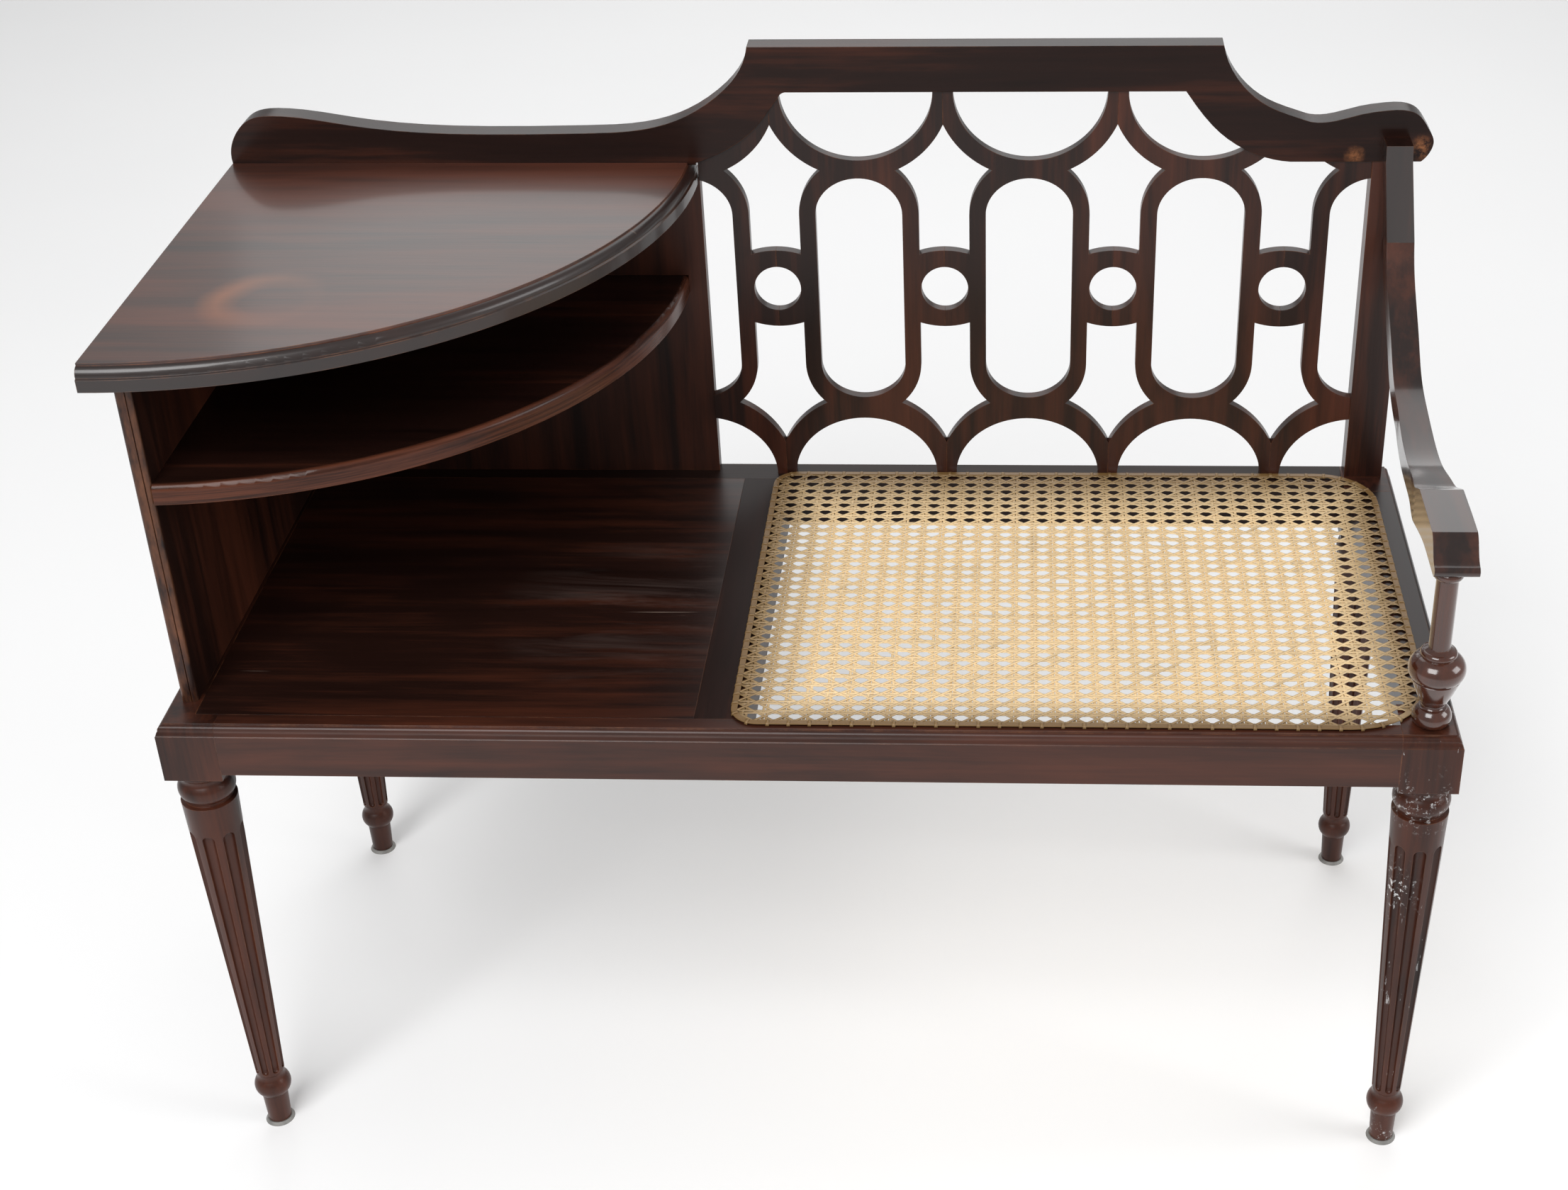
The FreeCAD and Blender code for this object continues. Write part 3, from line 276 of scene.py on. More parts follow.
def scratch_group():
    """Fine pale scratches in two directions, kept to patches."""
    name = "Fine scratches"
    if name in bpy.data.node_groups:
        return bpy.data.node_groups[name]
    group, inside, outside = new_group(
        name,
        [("Vector", "NodeSocketVector", None), ("Amount", "NodeSocketFloat", 0.5)],
        [("Mask", "NodeSocketFloat")])
    place = inside.outputs["Vector"]
    masks = []
    for turn, scale in ((0.5, (5, 190, 60)), (-0.9, (4, 150, 60))):
        lines = noise(group, stretched(group, place, scale, (0, 0, turn)), 1.0, 2, 0.5, 0.2)
        masks.append(ramp(group, lines, [(0.735, 0.0), (0.76, 1.0)]))
    both = math_node(group, "MAXIMUM", masks[0], masks[1])
    patches = ramp(group, noise(group, place, 7, 3, 0.6), [(0.52, 0.0), (0.68, 1.0)])
    mask = math_node(group, "MULTIPLY", both, patches)
    mask = math_node(group, "MULTIPLY", mask, inside.outputs["Amount"], clamp=True)
    link(group, mask, outside.inputs["Mask"])
    return group


SPOT_SOFTNESS = 0.5


def spot_group():
    """A soft round or ring-shaped stain about a point: centre, radius and width of its rim, in metres."""
    name = "Stain ring"
    if name in bpy.data.node_groups:
        return bpy.data.node_groups[name]
    group, inside, outside = new_group(
        name,
        [("Vector", "NodeSocketVector", None), ("Centre", "NodeSocketVector", None),
         ("Radius", "NodeSocketFloat", 0.04), ("Width", "NodeSocketFloat", 0.012)],
        [("Mask", "NodeSocketFloat")])
    gap = group.nodes.new("ShaderNodeVectorMath")
    gap.operation = "DISTANCE"
    link(group, inside.outputs["Vector"], gap.inputs[0])
    link(group, inside.outputs["Centre"], gap.inputs[1])
    wobble = noise(group, inside.outputs["Vector"], 24, 3, 0.6)
    reach = math_node(group, "ADD", gap.outputs["Value"], math_node(group, "MULTIPLY", wobble, 0.012))
    off = math_node(group, "ABSOLUTE", math_node(group, "SUBTRACT", reach, inside.outputs["Radius"]))
    share = math_node(group, "DIVIDE", off, inside.outputs["Width"])
    rim = math_node(group, "SUBTRACT", 1.0, share, clamp=True)
    link(group, math_node(group, "SMOOTH_MIN", rim, 1.0, SPOT_SOFTNESS), outside.inputs["Mask"])
    return group


def place_group(tree, group, **values):
    """Puts a node group in a material with its own values."""
    made = tree.nodes.new("ShaderNodeGroup")
    made.node_tree = group
    for label, value in values.items():
        socket = made.inputs[label]
        if isinstance(value, bpy.types.NodeSocket):
            link(tree, value, socket)
        else:
            socket.default_value = value
    return made


GRAIN_TURNS = {
    "x": (0, 0, 0),
    "y": (0, 0, math.radians(90)),
    "z": (0, math.radians(90), 0),
}
SCRATCH_COLOUR = (0.34, 0.25, 0.2)


def begin_material(name):
    """A new node material; returns it with its tree, shader and object coordinates."""
    material = bpy.data.materials.new(name)
    material.use_nodes = True
    tree = material.node_tree
    shader = tree.nodes["Principled BSDF"]
    coordinates = tree.nodes.new("ShaderNodeTexCoord")
    return material, tree, shader, coordinates.outputs["Object"]


def mahogany(name, grain, lightness, rubbed, roughness, shift,
             coat=0.0, shine=0.3, scratched=0.0, stain=None):
    """Dark varnished mahogany whose grain runs along x, y or z, with rubbed arrises and a worn varnish."""
    wood = settings()[1]
    material, tree, shader, place = begin_material(name)
    along = stretched(tree, place, (1, 1, 1), GRAIN_TURNS[grain], shift)
    figure = place_group(tree, grain_group(), Vector=along, Lightness=lightness)
    colour = figure.outputs["Color"]
    if stain:
        colour = stain(tree, place, colour)
    edges = place_group(tree, edge_group(), Vector=place, Amount=rubbed)
    colour = mix_colour(tree, edges.outputs["Mask"], colour, tuple(wood.worn))
    clouds = math_node(tree, "MULTIPLY", figure.outputs["Sheen"], 0.14)
    rough = math_node(tree, "ADD", roughness - 0.06, clouds)
    rough = math_node(tree, "ADD", rough, math_node(tree, "MULTIPLY", edges.outputs["Mask"], 0.2))
    if scratched:
        lines = place_group(tree, scratch_group(), Vector=place, Amount=scratched)
        colour = mix_colour(tree, lines.outputs["Mask"], colour, SCRATCH_COLOUR)
        rough = math_node(tree, "ADD", rough, math_node(tree, "MULTIPLY", lines.outputs["Mask"], 0.3))
    link(tree, colour, shader.inputs["Base Color"])
    link(tree, rough, shader.inputs["Roughness"])
    shader.inputs["Specular IOR Level"].default_value = shine
    shader.inputs["Coat Weight"].default_value = coat
    shader.inputs["Coat Roughness"].default_value = 0.12
    rounded = tree.nodes.new("ShaderNodeBevel")
    rounded.samples = BEVEL_SAMPLES
    rounded.inputs["Radius"].default_value = ROUNDED_RADIUS
    bump = tree.nodes.new("ShaderNodeBump")
    bump.inputs["Strength"].default_value = 0.12
    bump.inputs["Distance"].default_value = 0.0004
    link(tree, figure.outputs["Pores"], bump.inputs["Height"])
    link(tree, rounded.outputs["Normal"], bump.inputs["Normal"])
    link(tree, bump.outputs["Normal"], shader.inputs["Normal"])
    return material


# Marks on the wood, and a painted highlight on the lit side of the ring stain: places in metres, colours as
# linear RGB

TOP_AXIS = (LEFT, BACK - 0.016)
TOP_MOULDING_RADIUS = 0.3885
TOP_MOULDING_COLOUR = (0.006, 0.003, 0.0025)
TOP_HEIGHT = SEAT + 0.299
# Ring stain from a wet pot; RING_LIT_SIDE keeps it only on the side where light falls, a painted highlight
RING_CENTRE = (-0.393, -0.085, TOP_HEIGHT)
RING_LIT_SIDE = (-0.433, -0.077, TOP_HEIGHT)
RING_COLOUR = (0.30, 0.095, 0.03)
BURN_CENTRE = (-0.2265, 0.116, TOP_HEIGHT)
BURN_COLOUR = (0.004, 0.002, 0.002)
SHELF_AXIS = (LEFT + 0.0045, BACK - 0.0166)
SHELF_NOSE_RADIUS = 0.3715
SHELF_NOSE_COLOUR = (0.085, 0.026, 0.013)
SMEAR_CENTRE = (-0.15, -0.04, SEAT)
SMEAR_COLOUR = (0.22, 0.16, 0.14)
CREST_RUB_LEFT = (0.4405, 0.193, 0.736)
CREST_RUB_RIGHT = (0.496, 0.193, 0.742)
CREST_RUB_COLOUR = (0.34, 0.13, 0.05)
PANEL_WEAR_BACK = FRONT + 0.0385
PANEL_WEAR_COLOUR = (0.17, 0.062, 0.026)
LEG_NECK_HEIGHT = 0.372
LEG_MIDDLE_HEIGHT = 0.275
LEG_SCUFFED_SIDE = 0.482
PAINT_COLOUR = (0.72, 0.72, 0.72)


def beyond_radius(tree, place, axis, radius, steepness):
    """Mask of what lies further than a radius from an upright axis, rising by a steepness per metre."""
    flat = tree.nodes.new("ShaderNodeVectorMath")
    flat.operation = "MULTIPLY"
    flat.inputs[1].default_value = (1, 1, 0)
    link(tree, place, flat.inputs[0])
    gap = tree.nodes.new("ShaderNodeVectorMath")
    gap.operation = "DISTANCE"
    gap.inputs[1].default_value = (*axis, 0)
    link(tree, flat.outputs["Vector"], gap.inputs[0])
    outside = math_node(tree, "SUBTRACT", gap.outputs["Value"], radius)
    return math_node(tree, "MULTIPLY", outside, steepness, clamp=True)


def spot(tree, place, centre, radius, width):
    """Mask of a soft round stain, or of a ring where it has a radius."""
    made = place_group(tree, spot_group(), Vector=place, Centre=centre, Radius=radius, Width=width)
    return made.outputs["Mask"]


def height_band(tree, height, middle, steepness):
    """Mask that is full at a height and fades above and below it."""
    off = math_node(tree, "ABSOLUTE", math_node(tree, "SUBTRACT", height, middle))
    return math_node(tree, "SUBTRACT", 1.0, math_node(tree, "MULTIPLY", off, steepness), clamp=True)


def shelf_wear(tree, place, colour):
    """Reddish rubbed wood round the shelf's nose."""
    nose = beyond_radius(tree, place, SHELF_AXIS, SHELF_NOSE_RADIUS, 400.0)
    lines = noise(tree, stretched(tree, place, (9, 9, 420)), 1.0, 5, 0.7)
    streaks = ramp(tree, lines, [(0.36, 0.2), (0.6, 1.0)])
    return mix_colour(tree, math_node(tree, "MULTIPLY", nose, streaks), colour, SHELF_NOSE_COLOUR)


def table_top_marks(tree, place, colour):
    """The table top's moulding darkened to near-black, the orange ring left by a wet pot shown only on its
    lit side as a painted highlight, and a small dark burn.
    """
    # Darkens the moulding band beyond the radius to near-black
    edge = beyond_radius(tree, place, TOP_AXIS, TOP_MOULDING_RADIUS, 900.0)
    colour = mix_colour(tree, math_node(tree, "MULTIPLY", edge, 0.85), colour, TOP_MOULDING_COLOUR)
    ring = spot(tree, place, RING_CENTRE, 0.046, 0.018)
    side = spot(tree, place, RING_LIT_SIDE, 0.0, 0.085)
    # Real ring stain cut down to its lit side: an orange painted highlight where the lamp falls
    stain_on_lit_side = math_node(tree, "MULTIPLY", ring, side)
    colour = mix_colour(tree, math_node(tree, "MULTIPLY", stain_on_lit_side, 0.62), colour, RING_COLOUR)
    burn = spot(tree, place, BURN_CENTRE, 0.0, 0.012)
    return mix_colour(tree, burn, colour, BURN_COLOUR)


def board_marks(tree, place, colour):
    """Pale smears and rubs on the lower board."""
    smear = noise(tree, stretched(tree, place, (5, 26, 10)), 1.0, 5, 0.7, 0.8)
    patch = spot(tree, place, SMEAR_CENTRE, 0.0, 0.13)
    mask = math_node(tree, "MULTIPLY", ramp(tree, smear, [(0.5, 0.0), (0.72, 1.0)]), patch)
    return mix_colour(tree, math_node(tree, "MULTIPLY", mask, 0.35), colour, SMEAR_COLOUR)


def crest_marks(tree, place, colour):
    """Bare orange wood where the crest's right end is rubbed, on both sides of the stile."""
    left = spot(tree, place, CREST_RUB_LEFT, 0.0, 0.016)
    right = spot(tree, place, CREST_RUB_RIGHT, 0.0, 0.018)
    both = math_node(tree, "MAXIMUM", left, right)
    broken = ramp(tree, noise(tree, place, 60, 5, 0.7), [(0.4, 0.0), (0.6, 1.0)])
    mask = math_node(tree, "MULTIPLY", math_node(tree, "MULTIPLY", both, broken), 1.6, clamp=True)
    return mix_colour(tree, mask, colour, CREST_RUB_COLOUR)


def front_edge_wear(tree, place, colour):
    """Orange rubbed line down the side panel's front edge."""
    near = math_node(tree, "SUBTRACT", PANEL_WEAR_BACK, split_axes(tree, place)["Y"])
    near = math_node(tree, "MULTIPLY", near, 350.0, clamp=True)
    patches = noise(tree, stretched(tree, place, (30, 30, 9)), 1.0, 5, 0.7)
    broken = ramp(tree, patches, [(0.4, 0.0), (0.56, 1.0)])
    worn = math_node(tree, "MULTIPLY", math_node(tree, "MULTIPLY", near, broken), 0.7)
    return mix_colour(tree, worn, colour, PANEL_WEAR_COLOUR)


def paint_scuffs(tree, place, colour):
    """Flecks of pale paint on the leg: at its neck, its foot and the inner side of its middle."""
    axes = split_axes(tree, place)
    flecks = ramp(tree, noise(tree, place, 210, 5, 0.75), [(0.57, 0.0), (0.61, 1.0)])
    patches = ramp(tree, noise(tree, place, 24, 3, 0.6), [(0.47, 0.0), (0.6, 1.0)])
    neck = height_band(tree, axes["Z"], LEG_NECK_HEIGHT, 28.0)
    foot = math_node(tree, "SUBTRACT", 1.0, math_node(tree, "MULTIPLY", axes["Z"], 24.0), clamp=True)
    middle = height_band(tree, axes["Z"], LEG_MIDDLE_HEIGHT, 26.0)
    side = math_node(tree, "SUBTRACT", LEG_SCUFFED_SIDE, axes["X"])
    side = math_node(tree, "MULTIPLY", side, 90.0, clamp=True)
    middle = math_node(tree, "MULTIPLY", math_node(tree, "MULTIPLY", middle, side), 1.6)
    where = math_node(tree, "MAXIMUM", math_node(tree, "MAXIMUM", neck, foot), middle)
    mask = math_node(tree, "MULTIPLY", math_node(tree, "MULTIPLY", flecks, patches), where)
    specks = noise(tree, stretched(tree, place, (160, 160, 40)), 1.0, 4, 0.7)
    thin = math_node(tree, "MULTIPLY", ramp(tree, specks, [(0.66, 0.0), (0.69, 1.0)]), 0.5)
    return mix_colour(tree, math_node(tree, "MAXIMUM", mask, thin), colour, PAINT_COLOUR)


WOOD_FINISHES = {
    "front_rail": dict(grain="x", lightness=0.61, rubbed=0.75, roughness=0.34, shine=0.35, scratched=0.35),
    "back_rail": dict(grain="x", lightness=0.40, rubbed=0.4, roughness=0.34, shine=0.15),
    "left_rail": dict(grain="y", lightness=0.5, rubbed=0.6, roughness=0.32),
    "right_rail": dict(grain="y", lightness=0.44, rubbed=0.5, roughness=0.3),
    "cross_rail": dict(grain="y", lightness=0.34, rubbed=0.2, roughness=0.36, shine=0.12, scratched=0.4),
    "platform_board": dict(grain="x", lightness=0.45, rubbed=0.3, roughness=0.3, shine=0.25, scratched=0.7,
                           stain=board_marks),
    "cleat_front": dict(grain="x", lightness=0.55, rubbed=0.1, roughness=0.6),
    "cleat_back": dict(grain="x", lightness=0.55, rubbed=0.1, roughness=0.6),
    "side_panel": dict(grain="z", lightness=0.52, rubbed=0.5, roughness=0.36, stain=front_edge_wear),
    "back_panel": dict(grain="z", lightness=0.51, rubbed=0.4, roughness=0.36),
    "shelf": dict(grain="x", lightness=0.43, rubbed=0.45, roughness=0.24, shine=0.2, stain=shelf_wear),
    "top_board": dict(grain="x", lightness=0.60, rubbed=0.75, roughness=0.38, coat=0.35, shine=0.5,
                      scratched=0.5, stain=table_top_marks),
    "crest_rail": dict(grain="x", lightness=0.45, rubbed=0.35, roughness=0.22, shine=0.16,
                       stain=crest_marks),
    "crest_dowels": dict(grain="z", lightness=0.5, rubbed=0.0, roughness=0.5),
    "right_stile": dict(grain="z", lightness=0.56, rubbed=0.7, roughness=0.3),
    "arm_upper": dict(grain="z", lightness=0.44, rubbed=0.35, roughness=0.2, coat=0.8),
    "arm_sweep": dict(grain="y", lightness=0.47, rubbed=0.25, roughness=0.2, coat=0.8),
    "arm_support": dict(grain="z", lightness=0.53, rubbed=0.3, roughness=0.16, coat=1.0),
    "leg_front_left": dict(grain="z", lightness=0.6, rubbed=0.6, roughness=0.3, scratched=0.3),
    "leg_front_right": dict(grain="z", lightness=0.6, rubbed=0.6, roughness=0.3, stain=paint_scuffs),
    "leg_rear_left": dict(grain="z", lightness=0.54, rubbed=0.5, roughness=0.32),
    "leg_rear_right": dict(grain="z", lightness=0.54, rubbed=0.5, roughness=0.32),
}
FRET_FINISH = dict(grain="z", lightness=0.50, rubbed=0.45, roughness=0.28, scratched=0.2)
FRET_LIGHTNESS_STEP = 0.03
GLIDE_COLOUR = (0.42, 0.41, 0.39)
SCREW_COLOUR = (0.25, 0.22, 0.18)


def dress(node_name, material):
    """Gives a CAD node its material."""
    mesh = NODES[node_name].data
    mesh.materials.clear()
    mesh.materials.append(material)


def dull_metal(name, colour, roughness):
    """Tarnished plain metal with darker blotches."""
    material, tree, shader, place = begin_material(name)
    blotches = noise(tree, place, 180, 4, 0.65)
    shade = mix_colour(tree, blotches, tuple(0.45 * value for value in colour), colour)
    link(tree, shade, shader.inputs["Base Color"])
    link(tree, math_node(tree, "ADD", roughness, math_node(tree, "MULTIPLY", blotches, 0.2)),
         shader.inputs["Roughness"])
    shader.inputs["Metallic"].default_value = 0.85
    return material


class BENCH_OT_wood(bpy.types.Operator):
    """Gives every wooden and metal piece of the frame its finish"""
    bl_idname = "bench.wood"
    bl_label = "Finish the woodwork"

    def execute(self, context):
        for count, (name, finish) in enumerate(WOOD_FINISHES.items()):
            shift = (0.37 * count, 0.21 * count, 0.13 * count)
            dress(name, mahogany(f"mahogany_{name}", shift=shift, **finish))
        fret_nodes = sorted(name for name in NODES if name.startswith("fret_"))
        for count, name in enumerate(fret_nodes):
            lightness = FRET_FINISH["lightness"] + FRET_LIGHTNESS_STEP * (count % 3 - 1)
            finish = dict(FRET_FINISH, lightness=lightness)
            dress(name, mahogany(f"mahogany_{name}", shift=(0.5 + 0.31 * count, 0.4, 0.2), **finish))
        dress("foot_glides", dull_metal("glide_metal", GLIDE_COLOUR, 0.45))
        screws = dull_metal("screw_steel", SCREW_COLOUR, 0.4)
        dress("cleat_screws", screws)
        dress("arm_screws", screws)
        return {"FINISHED"}


# Woven seat: all sizes in metres, and all levels above the rails' tops

CORNER_RADII = (0.022, 0.064, 0.050, 0.022)  # front left, front right, back right, back left
ARC_STEPS = 10

FIRST_COLUMN = 0.011
FIRST_ROW = 0.005
MOST_COLUMNS = 34
MOST_ROWS = 32
LAST_COLUMN_GAP = 0.006
LAST_ROW_GAP = 0.003

STRAND_INSET = 0.0028
SHORTEST_STRAND = 0.012
STRAND_CROWN = 0.00012
LONGEST_REACH = 1.2
HALVINGS = 24

UPRIGHT_LEVEL = 0.0010
CROSS_LEVEL = 0.0013
PAIR_SWING = 0.00025
SLANT_LEVEL = 0.0017
SLANT_LEVEL_STEP = 0.0002
SLANT_SWING = 0.0001
SLANT_WIDTH_SHARE = 0.88
SLANT_INSET = 0.003
SLANT_REACHES = (0.012, 0.03)
SAME_PLACE = 0.001

BINDER_LEVEL = 0.0014
BINDER_THICKNESS = 0.0009
BINDER_ROUNDING = 0.0006
LOOP_LEVEL = 0.0006
LOOP_RISE = 0.0023
LOOP_WIDTH = 0.0026
LOOP_REACH = 1.3  # a loop's length against the binder's width

EDGE_FIBRE_TURN = 0.3
LOOP_FIBRE_TURN = 0.9
STRAND_DIRT = 0.85
BINDER_DIRT = 1.0
LOOP_DIRT = 0.95
FRONT_STAIN_FADE = 1.6
BACK_STAIN_FADE = 0.75


def field_edge(inset):
    """Corner centres and radii of the rounded field, drawn in by an inset."""
    low_x, low_y = FIELD_LOW.x + inset, FIELD_LOW.y + inset
    high_x, high_y = FIELD_HIGH.x - inset, FIELD_HIGH.y - inset
    front_left, front_right, back_right, back_left = (radius - inset for radius in CORNER_RADII)
    return (
        (Vector((low_x + front_left, low_y + front_left)), front_left, (-1, -1)),
        (Vector((high_x - front_right, low_y + front_right)), front_right, (1, -1)),
        (Vector((high_x - back_right, high_y - back_right)), back_right, (1, 1)),
        (Vector((low_x + back_left, high_y - back_left)), back_left, (-1, 1)),
    )


def inside_field(x, y, inset):
    """Whether a point lies in the rounded field."""
    if not FIELD_LOW.x + inset <= x <= FIELD_HIGH.x - inset:
        return False
    if not FIELD_LOW.y + inset <= y <= FIELD_HIGH.y - inset:
        return False
    for centre, radius, (side, end) in field_edge(inset):
        if (x - centre.x) * side > 0 and (y - centre.y) * end > 0:
            return (Vector((x, y)) - centre).length <= radius
    return True


def arc_start(side, end):
    """Angle at which a corner's arc begins, going round anticlockwise."""
    return math.atan2(0, side) if side * end > 0 else math.atan2(end, 0)


def strand_span(middle, direction, inset):
    """How far a strand through a point runs each way before it meets the binder."""
    ends = []
    for way in (-1, 1):
        low, high = 0.0, LONGEST_REACH
        for _ in range(HALVINGS):
            test = (low + high) / 2
            point = middle + direction * way * test
            if inside_field(point.x, point.y, inset):
                low = test
            else:
                high = test
        ends.append(way * low)
    return ends


def add_strand(bm, middle, direction, width, steps, height_at):
    """Adds one flat strand as a grid laid along a direction, its height given by a function of place."""
    start, end = strand_span(middle, direction, STRAND_INSET)
    if end - start < SHORTEST_STRAND:
        return
    count = max(2, round((end - start) / steps))
    centre = middle + direction * (start + end) / 2
    turn = math.atan2(direction.y, direction.x)
    place = Matrix.Translation((centre.x, centre.y, 0)) @ Matrix.Rotation(turn, 4, "Z")
    scale = Matrix.Diagonal((end - start, width, 1, 1))
    made = bmesh.ops.create_grid(bm, x_segments=count, y_segments=2, size=0.5, matrix=place @ scale)
    across = Vector((-direction.y, direction.x))
    for vert in made["verts"]:
        flat = Vector((vert.co.x, vert.co.y))
        crown = 1 - (2 * (flat - centre).dot(across) / width) ** 2
        vert.co.z = height_at(flat, direction) + STRAND_CROWN * crown


def finish_piece(bm, name, material, body="root", smooth=True):
    """Turns a bmesh into a piece of the bench."""
    mesh = bpy.data.meshes.new(name)
    bm.to_mesh(mesh)
    bm.free()
    piece = bpy.data.objects.new(name, mesh)
    bpy.context.scene.collection.objects.link(piece)
    mesh.materials.append(material)
    for polygon in mesh.polygons:
        polygon.use_smooth = smooth
    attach(piece, body)
    return piece


def thicken(piece, thickness):
    """Gives a woven sheet its strand thickness."""
    solid = piece.modifiers.new("Thickness", "SOLIDIFY")
    solid.thickness = thickness
    solid.offset = -1


def grid_lines():
    """Middles of the pairs: columns along X and rows along Y."""
    cane = settings()[0]
    first_x = FIELD_LOW.x + FIRST_COLUMN
    first_y = FIELD_LOW.y + FIRST_ROW
    columns = [first_x + cane.column_pitch * step for step in range(MOST_COLUMNS)]
    rows = [first_y + cane.row_pitch * step for step in range(MOST_ROWS)]
    columns = [x for x in columns if x < FIELD_HIGH.x - LAST_COLUMN_GAP]
    rows = [y for y in rows if y < FIELD_HIGH.y - LAST_ROW_GAP]
    return columns, rows


def cane_material(name, direction, dirt=STRAND_DIRT):
    """Split cane with fibres along a direction, stained towards the rails by a share of dirt."""
    cane = settings()[0]
    material, tree, shader, place = begin_material(name)
    along = stretched(tree, place, (1, 1, 1), (0, 0, -direction))
    fibres = noise(tree, stretched(tree, along, (40, 2200, 900)), 1.0, 3, 0.6)
    blotch = noise(tree, place, 34, 5, 0.65)
    strand = noise(tree, stretched(tree, along, (6, 330, 330)), 1.0, 2, 0.5)
    tone = math_node(tree, "ADD", math_node(tree, "MULTIPLY", fibres, 0.35), math_node(
        tree, "ADD", math_node(tree, "MULTIPLY", blotch, 0.35), math_node(tree, "MULTIPLY", strand, 0.4)))
    honey = Vector(cane.honey)
    clean = ramp(tree, tone, [
        (0.36, tuple(honey * 0.62)), (0.52, tuple(honey)), (0.72, tuple(honey * 1.16))])
    axes = split_axes(tree, place)
    from_left = math_node(tree, "SUBTRACT", axes["X"], FIELD_LOW.x)
    from_right = math_node(tree, "SUBTRACT", FIELD_HIGH.x, axes["X"])
    from_front = math_node(tree, "SUBTRACT", axes["Y"], FIELD_LOW.y)
    from_front = math_node(tree, "MULTIPLY", from_front, FRONT_STAIN_FADE)
    from_back = math_node(tree, "SUBTRACT", FIELD_HIGH.y, axes["Y"])
    from_back = math_node(tree, "MULTIPLY", from_back, BACK_STAIN_FADE)
    nearest = math_node(tree, "MINIMUM", math_node(tree, "MINIMUM", from_left, from_right),
                        math_node(tree, "MINIMUM", from_front, from_back))
    ragged = math_node(tree, "SUBTRACT", nearest, math_node(tree, "MULTIPLY", blotch, 0.022))
    fade = math_node(tree, "MULTIPLY", ragged, 20.0, clamp=True)
    grime = ramp(tree, fade, [(0.0, 1.0), (0.45, 0.45), (1.0, 0.0)])
    colour = mix_colour(tree, math_node(tree, "MULTIPLY", grime, dirt), clean, tuple(cane.stained))
    link(tree, colour, shader.inputs["Base Color"])
    rough = math_node(tree, "ADD", 0.38, math_node(tree, "MULTIPLY", fibres, 0.2))
    link(tree, rough, shader.inputs["Roughness"])
    shader.inputs["Coat Weight"].default_value = 0.15
    bump = tree.nodes.new("ShaderNodeBump")
    bump.inputs["Strength"].default_value = 0.25
    bump.inputs["Distance"].default_value = 0.0003
    link(tree, fibres, bump.inputs["Height"])
    link(tree, bump.outputs["Normal"], shader.inputs["Normal"])
    return material


def weave_height(level, swing, phase):
    """Height of a strand that goes over and under the pairs it crosses, within the field's thickness."""
    cane = settings()[0]
    columns, rows = grid_lines()

    def height(place, direction):
        run_x = math.cos(2 * math.pi * (place.x - columns[0]) / (2 * cane.column_pitch) + phase)
        run_y = math.cos(2 * math.pi * (place.y - rows[0]) / (2 * cane.row_pitch) + phase)
        share = abs(direction.x)
        return SEAT + level + swing * (share * run_x + (1 - share) * run_y)
    return height


